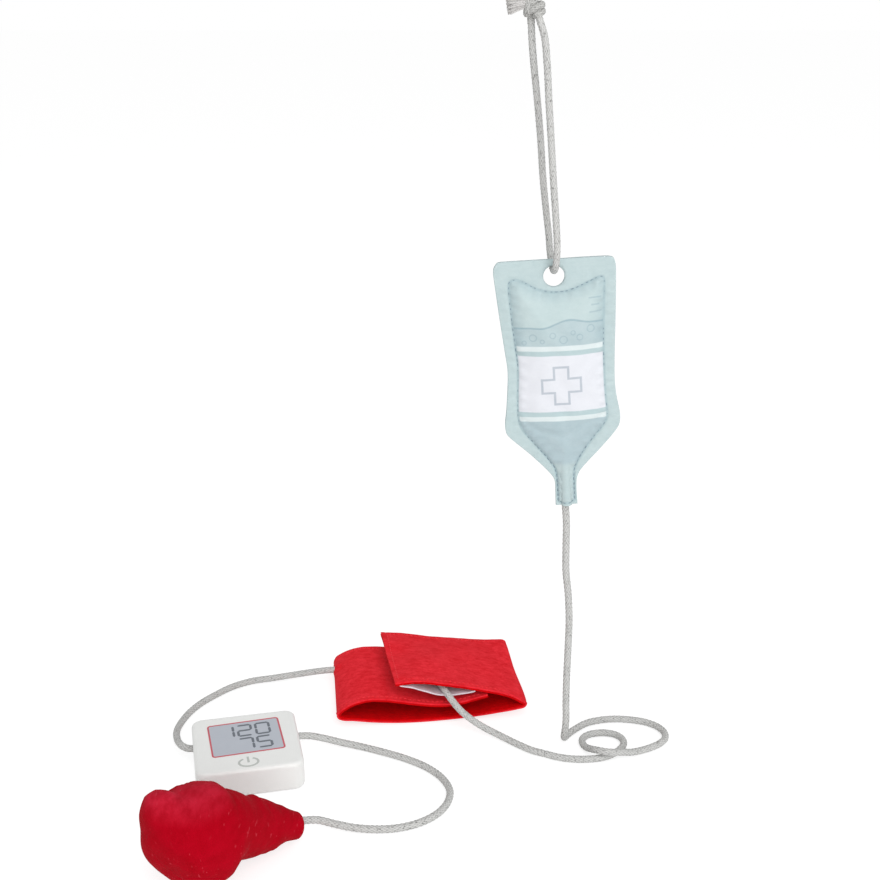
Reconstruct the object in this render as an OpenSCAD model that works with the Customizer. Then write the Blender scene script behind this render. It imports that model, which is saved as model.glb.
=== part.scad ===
// Toy infusion and blood pressure set: a stuffed felt drip bag that hangs from
// a cord loop, its line, a felt arm cuff, a wooden monitor block and a stuffed
// pump bulb. +Z is up, the set faces -Y, and z = 0 is the floor it lies on.

/* [Drip bag] */
// Width across the top edge
bag_top_w = 75; // [68:1:84]
// Width at the narrow middle
bag_waist_w = 66; // [60:1:72]
// Width across the shoulders
bag_shoulder_w = 73; // [68:1:84]
// Width of the neck that holds the line
bag_neck_w = 14; // [12:1:20]
// Height of the top edge above the hole's centre
bag_rise = 10.4; // [9:0.2:16]
// Depth of the shoulders below the hole's centre
bag_shoulder_drop = 93; // [84:1:100]
// Depth of the neck's top below the hole's centre
bag_neck_drop = 131; // [122:1:134]
// Depth of the neck's bottom edge below the hole's centre
bag_drop = 150; // [144:1:158]
// Radius of the top corners
bag_corner = 7; // [3:0.5:12]
// Diameter of the punched hole
hole_d = 13; // [12:0.5:15]
// Distance from the edge to the seam round the filling
seam_inset = 8; // [6:0.5:11]
// Thickness of the printed felt
bag_felt = 1.5; // [1:0.1:2.5]
// How far the filling swells each panel
bag_puff = 5.5; // [3:0.5:9]
// Lean of the hanging bag, in degrees
bag_lean = 4.5; // [0:0.5:6]

/* [Cord] */
// Diameter of the braided cord
cord_d = 5; // [4:0.1:5.4]
// Room round a cord in a hole or a channel
cord_room = 0.2; // [0.1:0.05:0.6]
// Diameter of the core of the loop's knot
knot_d = 13; // [11:0.5:16]

/* [Monitor] */
// Width of the wooden block
block_w = 70; // [60:1:80]
// Depth of the wooden block
block_d = 68; // [60:1:80]
// Height of the wooden block
block_h = 20; // [16:1:26]
// Radius of the block's upright corners
block_corner = 6; // [3:0.5:12]
// Radius of the block's top and bottom edges
block_edge = 1.6; // [0.8:0.2:3]
// Depth of each cord hole
block_bore_depth = 15; // [8:1:25]
// Distance of the cord holes behind the block's middle
block_bore_back = 14; // [0:1:20]

/* [Cuff] */
// Width of the felt strip
strip_w = 80; // [60:1:100]
// Thickness of one felt layer
strip_felt = 1.3; // [0.8:0.1:1.8]
// Width of the folded cuff
cuff_w = 133; // [124:1:150]
// Height of the fold on the left
fold_h = 20.6; // [18:0.2:26]
// How far the left fold bulges
fold_bulge = 14; // [10:0.5:20]
// Height of the crease on the right
crease_z = 12.5; // [11:0.5:16]
// Length over which the strip rises to the crease
crease_run = 52; // [35:1:60]
// Gap of the tucked end from the crease
tuck_gap = 27; // [22:1:40]
// Sag of the upper layer between the fold and its end
tuck_sag = 3.6; // [2:0.2:4]
// Length of the flap along the floor
flap_l = 93; // [80:1:105]
// Height of the flap's free end
flap_z = 33.5; // [33:0.5:40]
// Length of the fastener pads
pad_l = 57; // [40:1:62]
// Width of the fastener pads
pad_w = 70; // [50:1:76]
// Thickness of the fastener pads
pad_t = 1.4; // [1:0.1:2]
// How far behind the front edge the cuff's cord enters
cuff_cord_back = 63; // [40:1:70]

/* [Pump bulb] */
// Diameter of the stuffed body
bulb_d = 62; // [54:1:70]
// Length from the back of the body to the neck's end
bulb_l = 107; // [98:1:118]
// Diameter of the neck's end
bulb_neck_d = 16.4; // [13:0.2:20]
// Thickness of the bulb's fabric
bulb_cloth = 1.2; // [0.8:0.1:2]
// How far the floor flattens the bulb
bulb_flat = 0.5; // [0.3:0.1:0.9]

/* [Hidden] */

$fn = 48;

// Places of the pieces on the floor, and of the bag's hole in the air
block_at = [-97.5, 2, 0];
block_yaw = 12.5;
cuff_at = [13.5, 55.5, 0];
cuff_yaw = 6;
cuff_left = -54;
bulb_at = [-113.5, -112.5];
bulb_yaw = 36;
bulb_tilt = 17;
bulb_roll = -38;
hole_at = [100, 32.6, 327];
knot_at = [84.5, 32.6, 482.5];

cord_r = cord_d / 2;
cord_hole_r = cord_r + cord_room;
hole_r = hole_d / 2;

// Gap between pieces of filling and the cloth round them
fill_gap = 0.1;

// ---------------------------------------------------------------- helpers

function unit(v) = v / norm(v);

// Faces of a closed slab whose two skins are grids of nr rows and nc columns
function slab_faces(nr, nc) =
    let (n = nr * nc, at = function (r, c) r * nc + c)
    concat(
        [for (r = [0:nr - 2], c = [0:nc - 2]) each
            [[at(r, c), at(r, c + 1), at(r + 1, c + 1)],
             [at(r, c), at(r + 1, c + 1), at(r + 1, c)]]],
        [for (r = [0:nr - 2], c = [0:nc - 2]) each
            [[n + at(r, c), n + at(r + 1, c + 1), n + at(r, c + 1)],
             [n + at(r, c), n + at(r + 1, c), n + at(r + 1, c + 1)]]],
        [for (r = [0:nr - 2]) each
            [[at(r, 0), at(r + 1, 0), n + at(r + 1, 0)],
             [at(r, 0), n + at(r + 1, 0), n + at(r, 0)],
             [at(r, nc - 1), n + at(r, nc - 1), n + at(r + 1, nc - 1)],
             [at(r, nc - 1), n + at(r + 1, nc - 1), at(r + 1, nc - 1)]]],
        [for (c = [0:nc - 2]) each
            [[at(0, c), n + at(0, c), n + at(0, c + 1)],
             [at(0, c), n + at(0, c + 1), at(0, c + 1)],
             [at(nr - 1, c), at(nr - 1, c + 1), n + at(nr - 1, c + 1)],
             [at(nr - 1, c), n + at(nr - 1, c + 1), n + at(nr - 1, c)]]]);

// Closed solid between a back skin and a front skin, both row-major grids
module slab(back, front, rows, cols) {
    polyhedron(points = concat(back, front), faces = slab_faces(rows, cols));
}

// Direction of a route at point i, from its neighbours
function heading(p, i) =
    unit(p[min(i + 1, len(p) - 1)] - p[max(i - 1, 0)]);

// Cross directions carried along a route without twist
function carried(p, i, s) =
    i == len(p) ? [] :
    let (h = heading(p, i), a = unit(s - (s * h) * h))
    concat([a], carried(p, i + 1, a));

// Tube of radius r along the points p, closed at both ends
module tube(p, r, sides, start = [0, 1, 0]) {
    s = carried(p, 0, start);
    n = len(p);
    pts = [for (i = [0:n - 1])
        let (b = cross(heading(p, i), s[i]))
        for (k = [0:sides - 1])
            p[i] + r * (cos(360 * k / sides) * s[i] + sin(360 * k / sides) * b)];
    sides_faces = [for (i = [0:n - 2], k = [0:sides - 1])
        let (a = i * sides + k, b = i * sides + (k + 1) % sides)
        each [[a, a + sides, b + sides], [a, b + sides, b]]];
    first = [for (k = [1:sides - 2]) [0, k, k + 1]];
    e = (n - 1) * sides;
    last = [for (k = [1:sides - 2]) [e, e + k + 1, e + k]];
    polyhedron(points = pts, faces = concat(sides_faces, first, last));
}

// Least gap of a route to itself, past its own neighbourhood of 2 diameters
function along(p, i) = i == 0 ? [0] :
    let (a = along(p, i - 1)) concat(a, [a[i - 1] + norm(p[i] - p[i - 1])]);
function densify(p, n) = [for (i = [0:len(p) - 2], k = [0:n - 1])
    p[i] + (p[i + 1] - p[i]) * k / n];
function self_gap(p, d) = let (q = densify(p, 3), s = along(q, len(q) - 1))
    min([for (i = [0:len(q) - 1], j = [i + 1:1:len(q) - 1])
        if (s[j] - s[i] > 4 * d) norm(q[i] - q[j])]) - d;
function route_length(p) = let (s = along(p, len(p) - 1)) s[len(p) - 1];

// ---------------------------------------------------------------- drip bag

// The bag is drawn in its own plane: x across, z up from the hole's centre,
// and y out of the plane, with the seam between its two panels at y = 0.
bag_waist_drop = (bag_shoulder_drop - bag_rise) * 0.7;
shoulder_slope = (bag_shoulder_w - bag_neck_w) / 2
    / (bag_neck_drop - bag_shoulder_drop);
// the shoulders are rounded over this height
shoulder_round = 7;
bag_cols = 13;

bag_width_at = [
    [-bag_drop, bag_neck_w / 2],
    [-bag_neck_drop, bag_neck_w / 2],
    [-bag_shoulder_drop - shoulder_round,
     bag_shoulder_w / 2 - shoulder_slope * shoulder_round * 0.5],
    [-bag_shoulder_drop, bag_shoulder_w / 2],
    [-bag_waist_drop, bag_waist_w / 2],
    [bag_rise, bag_top_w / 2]];

function corner_cut(z) =
    let (d = max(0, z - (bag_rise - bag_corner)))
    bag_corner - sqrt(max(0, pow(bag_corner, 2) - pow(d, 2)));
function bag_half(z) = lookup(z, bag_width_at) - corner_cut(z);

// half width inside the seam, which runs in the neck at a narrow hem
neck_hem = 1.7;
fill_neck_z = -bag_neck_drop + seam_inset;
fill_width_at = [
    [-bag_drop, bag_neck_w / 2 - neck_hem],
    [fill_neck_z, bag_neck_w / 2 - neck_hem],
    [-bag_shoulder_drop + 3, bag_shoulder_w / 2 - seam_inset],
    [-bag_waist_drop, bag_waist_w / 2 - seam_inset],
    [bag_rise, bag_top_w / 2 - seam_inset]];
function fill_half(z) = lookup(z, fill_width_at);

// the seam's top edge dips below the hole
seam_dip = hole_r + 3;
seam_lift = 8.5;
seam_slope = 4;
fill_bottom = fill_neck_z + seam_slope;
function fill_top(x) =
    -seam_dip + seam_lift * pow(min(1, abs(x) / (bag_waist_w / 2 - seam_inset)), 2);

// swell of one panel over the filling, and over the line in the neck
function fill_swell(x, z) =
    let (w = fill_half(z),
         t = (z - fill_bottom) / (fill_top(x) - fill_bottom))
    abs(x) >= w || t <= 0 || t >= 1 ? 0 :
    bag_puff * min(1, pow(w / (bag_waist_w / 2 - seam_inset), 0.7))
        * pow(1 - pow(x / w, 2), 0.7) * pow(1 - pow(abs(2 * t - 1), 5), 0.7);
channel_r = cord_hole_r + 0.7;
channel_top = fill_bottom + 3;
function line_swell(x, z) =
    z > channel_top ? 0 : sqrt(max(0, pow(channel_r, 2) - pow(x, 2)));
function panel_swell(x, z) = max(fill_swell(x, z), line_swell(x, z));

bag_rows_z = concat(
    [-bag_drop, -bag_neck_drop, fill_bottom],
    [for (t = [0.25:0.25:0.75])
        fill_bottom + t * (-bag_shoulder_drop - shoulder_round - fill_bottom)],
    [-bag_shoulder_drop - shoulder_round, -bag_shoulder_drop],
    [for (t = [0.2:0.2:0.8])
        -bag_shoulder_drop + t * (bag_shoulder_drop - seam_dip - seam_slope)],
    [-seam_dip - seam_slope, -seam_dip, -seam_dip + seam_lift * 0.5],
    [for (a = [0:22.5:90]) bag_rise - bag_corner + bag_corner * sin(a)]);

function bag_grid(offset) = [for (z = bag_rows_z, c = [0:bag_cols - 1])
    let (x = bag_half(z) * (2 * c / (bag_cols - 1) - 1))
    [x, -panel_swell(x, z) - offset, z]];

// Puts what is drawn round the hole's centre into its hanging place
module hang_bag() {
    translate(hole_at) rotate([0, -bag_lean, 0]) children();
}

module bag_panel() {
    difference() {
        slab(bag_grid(0), bag_grid(bag_felt), len(bag_rows_z), bag_cols);
        rotate([90, 0, 0])
            cylinder(d = hole_d, h = 4 * bag_felt, center = true);
    }
}

module bag_front_panel() {
    color("#c5dadd") hang_bag() bag_panel();
}

module bag_back_panel() {
    color("#b4cdd2") hang_bag() mirror([0, 1, 0]) bag_panel();
}

// The wadding, a lens that keeps off the seam and off the panels' flat facets
fill_share = 0.93;
fill_depth = 0.68;
fill_edge = 0.2;
fill_end = 3;
fill_rows = 12;
fill_cols = 11;
function fill_grid(side) = [for (r = [0:fill_rows - 1], c = [0:fill_cols - 1])
    let (u = fill_share * (2 * c / (fill_cols - 1) - 1),
         low = channel_top + fill_end,
         top = fill_top(u * fill_half(-seam_dip)) - fill_end,
         z = low + (top - low) * r / (fill_rows - 1),
         x = u * fill_half(z))
    [x, side * max(fill_edge, fill_depth * panel_swell(x, z) - fill_gap), z]];

module bag_filling() {
    color("white") hang_bag()
        slab(fill_grid(1), fill_grid(-1), fill_rows, fill_cols);
}

// ---------------------------------------------------------------- monitor

// One rounded upright corner of the block
module block_post() {
    rotate_extrude($fn = 32) {
        square([block_corner - block_edge, block_h]);
        translate([0, block_edge])
            square([block_corner, block_h - 2 * block_edge]);
        for (z = [block_edge, block_h - block_edge])
            translate([block_corner - block_edge, z])
                circle(r = block_edge, $fn = 16);
    }
}

module monitor_block() {
    color("#f2f2f0") translate(block_at) rotate(block_yaw) difference() {
        hull()
            for (x = [-1, 1], y = [-1, 1])
                translate([x * (block_w / 2 - block_corner),
                           y * (block_d / 2 - block_corner), 0])
                    block_post();
        for (side = [-1, 1])
            translate([side * block_w / 2, block_bore_back, block_h / 2])
                rotate([0, -90 * side, 0])
                    translate([0, 0, -1])
                        cylinder(r = cord_hole_r, h = block_bore_depth + 1);
    }
}

// ---------------------------------------------------------------- cuff

// The strip is drawn from the side, u to the right and z up, and drawn out
// over its width. It runs from the crease along the floor, round the fold on
// the left and back over itself to its tucked end. The flap lies on top.
cuff_right = cuff_left + cuff_w;
strip_t = 2 * strip_felt;
crease_gap = 0.4;
fold_u = cuff_left + fold_bulge;
tuck_u = cuff_right - tuck_gap;
tuck_z = fold_h - 1.6;

// outer face of the band: its lower and its upper layer, joined by the fold
lower_face = [for (t = [0:1/8:1])
    [cuff_right - crease_run * t,
     (crease_z - crease_gap / 2 - strip_t) * pow(1 - t, 2)]];
fold_face = [for (a = [0:15:165])
    [fold_u - fold_bulge * sin(a), fold_h / 2 * (1 - cos(a))]];
upper_face = [for (t = [0:1/10:1])
    [fold_u + (tuck_u - fold_u) * t,
     fold_h + (tuck_z - fold_h) * t - tuck_sag * sin(180 * t)]];
band_face = concat(lower_face, fold_face, upper_face);

// outer face of the flap, from the crease to its free end
flap_low = crease_z + crease_gap / 2 + strip_t;
flap_steps = 16;
flap_face = [for (i = [0:flap_steps]) let (t = i / flap_steps)
    [cuff_right - flap_l * t,
     flap_low + (flap_z - flap_low) * (0.3 * t + 0.7 * sin(90 * t))]];

// Points moved sideways by d, to the left of the way they run
function side_step(p, d) = [for (i = [0:len(p) - 1])
    let (h = unit(p[min(i + 1, len(p) - 1)] - p[max(i - 1, 0)]))
    p[i] + d * [-h[1], h[0]]];
function reversed(p) = [for (i = [len(p) - 1:-1:0]) p[i]];

// Sheet between two side steps of a face, drawn out over a width
module sheet(near, far, width) {
    rotate([90, 0, 0]) mirror([0, 0, 1])
        linear_extrude(width) polygon(concat(near, reversed(far)));
}

module lay_cuff() {
    translate(cuff_at) rotate(cuff_yaw) children();
}

module cuff_outer_felt() {
    color("#d9202e") lay_cuff() difference() {
        sheet(band_face, side_step(band_face, -strip_felt), strip_w);
        translate([cuff_left - 1, cuff_cord_back, fold_h / 2])
            rotate([0, 90, 0]) cylinder(r = cord_hole_r, h = fold_bulge / 2);
    }
}

module cuff_lining() {
    color("#b3121f") lay_cuff()
        sheet(side_step(band_face, -strip_felt),
              side_step(band_face, -strip_t), strip_w);
}

// Soft loop pad on the tucked end, below the flap
pad_end_u = tuck_u - 6;
pad_start_u = pad_end_u - pad_l;
pad_seat = concat(
    [[pad_start_u, lookup(pad_start_u, upper_face)]],
    [for (p = upper_face) if (p[0] > pad_start_u && p[0] < pad_end_u) p],
    [[pad_end_u, lookup(pad_end_u, upper_face)]]);
module cuff_loop_pad() {
    color("#e8e6ea") lay_cuff() translate([0, (strip_w - pad_w) / 2, 0])
        sheet(side_step(pad_seat, pad_t), pad_seat, pad_w);
}

module flap_outer_felt() {
    color("#e0303a") lay_cuff()
        sheet(flap_face, side_step(flap_face, strip_felt), strip_w);
}

module flap_lining() {
    color("#b3121f") lay_cuff()
        sheet(side_step(flap_face, strip_felt),
              side_step(flap_face, strip_t), strip_w);
}

// Hook pad sewn under the flap, bowed down where the line's end lies in it
pad_bow = 1.35 * (cord_d + 2 * cord_room);
pad_margin = 1.6;
under_flap = side_step(flap_face, strip_t);
pad_line = [for (i = [0:12])
    let (back = pad_margin + pad_l * (1 - i / 12),
         f = (1 - back / flap_l) * flap_steps, k = floor(f))
    under_flap[k] + (under_flap[k + 1] - under_flap[k]) * (f - k)];
function bowed(d) = [for (i = [0:12])
    let (h = unit(pad_line[min(i + 1, 12)] - pad_line[max(i - 1, 0)]))
    pad_line[i] + (pad_bow * sin(15 * i) + d) * [-h[1], h[0]]];

module flap_hook_pad() {
    color("white") lay_cuff() translate([0, 1, 0])
        sheet(bowed(0), bowed(pad_t), pad_w);
}

// ---------------------------------------------------------------- pump bulb

// The bulb is turned about its own axis, s = 0 at the widest place, and the
// neck's end at s = bulb_reach. A ball behind, a soft taper in front.
bulb_r = bulb_d / 2;
bulb_back = bulb_r * 0.97;
bulb_reach = bulb_l - bulb_back;
function bulb_radius(s) = s < 0 ? bulb_r * sqrt(max(0, 1 - pow(s / bulb_back, 2))) :
    bulb_neck_d / 2 + (bulb_r - bulb_neck_d / 2)
        * pow((1 + cos(180 * s / bulb_reach)) / 2, 1.1);
bulb_steps = concat([for (a = [-90:15:0]) bulb_back * sin(a)],
                    [for (t = [1/12:1/12:1]) bulb_reach * t]);

// height of the axis at s = 0, with the floor pressed in a little
bulb_z = max([for (s = [0:2:bulb_reach])
    s * sin(bulb_tilt) + bulb_radius(s) * cos(bulb_tilt)]) - bulb_flat;

// Outline of half the bulb, moved in by d, as [radius, s]
function bulb_outline(d) = concat(
    [for (s = bulb_steps) [max(0, bulb_radius(s) - d),
        s < 0 ? s * (1 - d / bulb_back) : min(s, bulb_reach - d)]],
    [[0, bulb_reach - d]]);

module lay_bulb() {
    intersection() {
        translate([bulb_at[0], bulb_at[1], bulb_z]) rotate([0, 0, bulb_yaw])
            rotate([0, 90 + bulb_tilt, 0]) rotate(bulb_roll) children();
        translate([bulb_at[0] - bulb_l, bulb_at[1] - bulb_l, 0])
            cube([2 * bulb_l, 2 * bulb_l, 2 * bulb_d]);
    }
}

// Half of the cover, from one side of the seam to the other
module bulb_half() {
    rotate_extrude(angle = 180) difference() {
        polygon(bulb_outline(0));
        polygon(bulb_outline(bulb_cloth));
        translate([0, bulb_reach - 2 * bulb_cloth])
            square([cord_hole_r, 3 * bulb_cloth]);
    }
}

module bulb_front_panel() {
    color("#b80d22") lay_bulb() rotate(180) bulb_half();
}

module bulb_back_panel() {
    color("#a30a1c") lay_bulb() bulb_half();
}

bulb_cord_in = 12;
module bulb_filling() {
    color("white") lay_bulb() rotate_extrude() difference() {
        polygon(bulb_outline(bulb_cloth + fill_gap));
        translate([0, bulb_reach - bulb_cord_in])
            square([cord_hole_r, 2 * bulb_cord_in]);
    }
}

// ---------------------------------------------------------------- cords

cord_sides = 8;

// from the knot down in front, through the hole, and up again behind
loop_route = [
    [87, 29.5, 476], [90, 28, 467], [92, 27, 452], [93.5, 26, 432],
    [95.5, 25, 408], [97.5, 24, 384], [99.5, 23, 362], [100.5, 22.6, 349],
    [100.6, 22.8, 340.6], [100.3, 25.2, 333.8], [99.9, 29.2, 330.9],
    [99.7, 32.6, 330.4], [99.5, 36, 330.9], [98.9, 40, 333.8],
    [98, 42.4, 340.6], [97.2, 42.6, 349],
    [95.4, 42, 362], [92.6, 41, 384], [90.4, 40, 408], [87.6, 38.5, 432],
    [85, 37, 452], [83.5, 36, 467], [83, 35.5, 476]];

// from the neck down to the floor and round the loops that lie there
line_route = [
    [110.8, 32.6, 189.8], [111.8, 32.6, 177.4], [112.9, 32.6, 166],
    [113.3, 32.5, 148], [113.8, 32.2, 130], [115.8, 31.8, 113], [116.9, 31.2, 96],
    [116.8, 30, 72], [116.4, 28.2, 48], [116.5, 26.8, 32], [116.8, 26, 22],
    [116.5, 25.8, 14.4], [116.1, 27.2, 8.2], [116.7, 30.7, 4.2], [118.6, 35.4, 2.6],
    [121.8, 39.8, 2.5], [126.6, 45, 2.5], [134, 51.4, 2.5], [144, 55.5, 2.5],
    [156, 57, 2.5], [167, 55.7, 2.5], [177.4, 52, 2.5], [184.2, 46, 2.5],
    [187.2, 38.8, 2.5], [186.3, 32, 2.5], [182.2, 26.3, 2.5], [175, 21, 2.5],
    [166.6, 16.6, 2.7], [159.4, 12.2, 4.4], [152.8, 7.9, 7.2], [146.7, 5.9, 8.5],
    [141.6, 6.3, 8.8], [137.2, 9.5, 7.8], [133.4, 15.1, 5.2], [130.4, 20.6, 3.1],
    [128.8, 26, 2.5], [129.1, 30.8, 2.5], [131.6, 34.8, 2.5], [135.6, 37.5, 2.5],
    [140.6, 38.9, 2.5], [146, 39.1, 2.5], [151.4, 37.5, 2.5], [155.4, 34, 2.5],
    [157.2, 29, 2.5], [156.4, 23.6, 2.5], [153.2, 18.4, 2.5], [148.6, 13.6, 2.5],
    [142.4, 9.7, 2.5], [135, 7.5, 2.5], [126.6, 6.8, 2.5], [118.4, 7.4, 2.5],
    [110, 9.6, 2.5], [102, 13.4, 2.5]];

// on from there, up and in below the flap
tail_route = [
    [102, 13.4, 2.5], [94, 17.2, 2.5], [86.4, 22.8, 2.6], [79.2, 28.8, 2.9],
    [70.6, 35.2, 3.9], [61.8, 40.2, 6], [53.2, 44.6, 9.6], [45.2, 49.2, 14.4],
    [39, 54.4, 19.9], [34.8, 60, 23.3], [32, 67, 24], [30.6, 75, 24],
    [30, 83, 24], [29.6, 91, 24]];

// from the cuff's fold over the floor to the block's left side
cuff_cord_route = [
    [-45.9, 112.7, 10.3], [-54.2, 112, 10.1], [-64, 112.8, 8.3], [-76, 114.4, 5.4],
    [-94, 113, 3], [-109, 109.5, 2.5], [-122, 101.6, 2.5], [-132.6, 90.4, 2.5],
    [-141.6, 78.4, 2.5], [-147.6, 66.4, 2.5], [-151, 53, 2.9], [-151.8, 43, 4],
    [-151, 34, 5.6], [-148.9, 25, 7.4], [-146, 17, 9], [-142.2, 11, 9.9],
    [-137.9, 8.2, 10], [-134.7, 8.1, 10], [-120.5, 11.2, 10]];

// from the block's right side round to the bulb's neck
bulb_cord_route = [
    [-81, 20, 10], [-66.3, 23.3, 10], [-58, 24.8, 9.2], [-48, 26, 6.4],
    [-37, 25.6, 3.6], [-24, 22.4, 2.5], [-9, 16, 2.5], [8, 7.4, 2.5],
    [22.5, -3, 2.5], [32.6, -15.4, 2.5], [37.4, -29, 2.5], [36, -41, 2.5],
    [30.4, -52, 2.5], [20, -61.6, 2.5], [6.4, -67.6, 2.5], [-9, -69.2, 2.5],
    [-22, -68.6, 3.2], [-34, -67, 4.8], [-45, -65.4, 6.6],
    [-54, -69.3, 8.9], [-63.2, -76, 12.4]];

echo(least_gap_of_line = self_gap(line_route, cord_d));
echo(least_gap_of_loop = self_gap(loop_route, cord_d));
echo(cord_lengths = [for (p = [loop_route, line_route, tail_route,
                               cuff_cord_route, bulb_cord_route]) route_length(p)]);

module hanging_loop() {
    color("#bdbdb9") tube(loop_route, cord_r, cord_sides, [1, 0, 0]);
}

module iv_line() {
    color("#bdbdb9") tube(line_route, cord_r, cord_sides);
}

module iv_line_tail() {
    color("#bdbdb9") tube(tail_route, cord_r, cord_sides, [0, 0, 1]);
}

module cuff_cord() {
    color("#bdbdb9") tube(cuff_cord_route, cord_r, cord_sides, [0, 0, 1]);
}

module bulb_cord() {
    color("#bdbdb9") tube(bulb_cord_route, cord_r, cord_sides, [0, 0, 1]);
}

// Knot that ties both ends of the loop: a core with two turns drawn over it
module hanging_knot() {
    color("#b0b0ac") translate(knot_at) {
        sphere(d = knot_d, $fn = 24);
        for (tilt = [[70, 15, 0], [10, -30, 0]])
            rotate(tilt) rotate_extrude($fn = 32)
                translate([knot_d / 2 - cord_r / 2, 0]) circle(d = cord_d, $fn = 16);
    }
}

// The loop's two cut ends, which open into a fringe
end_l = 14;
end_apart = 3;
module frayed_ends() {
    color("#c6c4c0") for (end = [[-66, end_apart], [-96, -end_apart]])
        translate(knot_at) rotate([0, end[0], 0])
            translate([0, end[1], knot_d / 2 - cord_r / 2])
                rotate_extrude() polygon([[0, 0], [cord_r, 0],
                    [cord_r, end_l * 0.4], [cord_r * 1.35, end_l], [0, end_l]]);
}

monitor_block();
cuff_outer_felt();
cuff_lining();
cuff_loop_pad();
flap_outer_felt();
flap_lining();
flap_hook_pad();
bulb_front_panel();
bulb_back_panel();
bulb_filling();
bag_front_panel();
bag_back_panel();
bag_filling();
hanging_loop();
hanging_knot();
frayed_ends();
iv_line();
iv_line_tail();
cuff_cord();
bulb_cord();
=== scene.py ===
"""Toy infusion and blood pressure set: the visible surface of every piece.

Each sub-assembly is a class that holds its sizes in millimetres, works its
surfaces out as numpy grids and hands them over as finished pieces in metres.
"""

import logging
import math
from dataclasses import dataclass, field
from enum import Enum

import bpy
import numpy as np
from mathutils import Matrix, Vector


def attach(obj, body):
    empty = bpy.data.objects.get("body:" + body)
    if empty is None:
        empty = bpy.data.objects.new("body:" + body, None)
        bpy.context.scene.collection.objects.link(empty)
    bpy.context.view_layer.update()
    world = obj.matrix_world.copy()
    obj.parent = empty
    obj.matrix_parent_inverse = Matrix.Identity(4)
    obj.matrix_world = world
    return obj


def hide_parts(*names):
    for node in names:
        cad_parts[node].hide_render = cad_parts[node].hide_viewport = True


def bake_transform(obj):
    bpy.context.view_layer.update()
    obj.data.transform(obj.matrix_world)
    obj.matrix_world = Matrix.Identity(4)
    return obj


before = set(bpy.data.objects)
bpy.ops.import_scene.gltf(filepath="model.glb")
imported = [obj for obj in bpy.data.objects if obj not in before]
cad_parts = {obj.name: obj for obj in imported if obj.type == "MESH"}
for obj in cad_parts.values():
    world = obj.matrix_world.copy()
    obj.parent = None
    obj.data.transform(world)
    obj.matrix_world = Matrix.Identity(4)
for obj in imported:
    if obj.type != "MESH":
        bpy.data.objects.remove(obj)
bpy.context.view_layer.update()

LOG = logging.getLogger("toy_set")
MM = 0.001

Array = np.ndarray
Pair = tuple[float, float]
Spot = tuple[float, float, float]
Points = tuple[tuple[float, ...], ...]
Colour = tuple[float, float, float, float]


class Body(Enum):
    """The moving bodies that pieces ride on."""

    SET = "set"
    BAG = "bag"
    FLAP = "flap"


# ------------------------------------------------------------------ numbers


def smoothstep(x: Array, low: float, high: float) -> Array:
    """Rises from 0 at low to 1 at high along 3t^2 - 2t^3."""
    t = np.clip((x - low) / (high - low), 0.0, 1.0)
    return t * t * (3 - 2 * t)


def bell(x: Array, width: float) -> Array:
    """A bell curve of height 1, exp(-(x / width)^2)."""
    return np.exp(-((x / width) ** 2))


def unit(v: Array) -> Array:
    """The vectors in the last axis, each of length 1."""
    return v / np.maximum(np.linalg.norm(v, axis=-1, keepdims=True), 1e-12)


def turn(axis: int, degrees: float) -> Array:
    """Rotation matrix about coordinate axis 0, 1 or 2.

    Args:
        axis: The coordinate axis.
        degrees: The angle, right-handed.

    Returns:
        The matrix, three by three.
    """
    c, s = math.cos(math.radians(degrees)), math.sin(math.radians(degrees))
    a, b = (axis + 1) % 3, (axis + 2) % 3
    m = np.eye(3)
    m[a, a], m[a, b], m[b, a], m[b, b] = c, -s, s, c
    return m


def smooth_line(points: Points | Array, step: float) -> Array:
    """Evenly spaced points on a smooth curve through the given ones.

    Each stretch is a cubic Hermite curve over its chord length. The slope at
    a point is the mean of the chords beside it, the shorter chord counting
    for more.

    Args:
        points: The points that the curve passes, in order.
        step: Distance between the points returned, along the curve.

    Returns:
        An array with one row for each point.
    """
    p = np.asarray(points, float)
    chord = np.linalg.norm(np.diff(p, axis=0), axis=1)
    at = np.concatenate([[0], np.cumsum(chord)])
    run = np.diff(p, axis=0) / chord[:, None]
    before, after = chord[:-1, None], chord[1:, None]
    inner = (run[:-1] * after + run[1:] * before) / (before + after)
    slope = np.vstack([run[:1], inner, run[-1:]])
    dense = np.linspace(0, at[-1], int(at[-1] / step * 8) + 2)
    k = np.clip(np.searchsorted(at, dense, side="right") - 1, 0, len(chord) - 1)
    h = chord[k][:, None]
    t = ((dense - at[k]) / chord[k])[:, None]
    line = ((2 * t**3 - 3 * t**2 + 1) * p[k] + (3 * t**2 - 2 * t**3) * p[k + 1]
            + h * ((t**3 - 2 * t**2 + t) * slope[k] + (t**3 - t**2) * slope[k + 1]))
    return evenly(line, step)


def arc_of(line: Array) -> Array:
    """Distance along a line at each of its points."""
    gaps = np.linalg.norm(np.diff(line, axis=0), axis=1)
    return np.concatenate([[0], np.cumsum(gaps)])


def between(at: Array, places: Array, rows: Array) -> Array:
    """Rows given at rising places, read at other places between them."""
    return np.stack([np.interp(at, places, column) for column in rows.T], axis=-1)


def evenly(line: Array, step: float) -> Array:
    """The same line with its points an equal distance apart."""
    arc = arc_of(line)
    at = np.linspace(0, arc[-1], max(2, round(arc[-1] / step) + 1))
    return between(at, arc, line)


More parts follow.
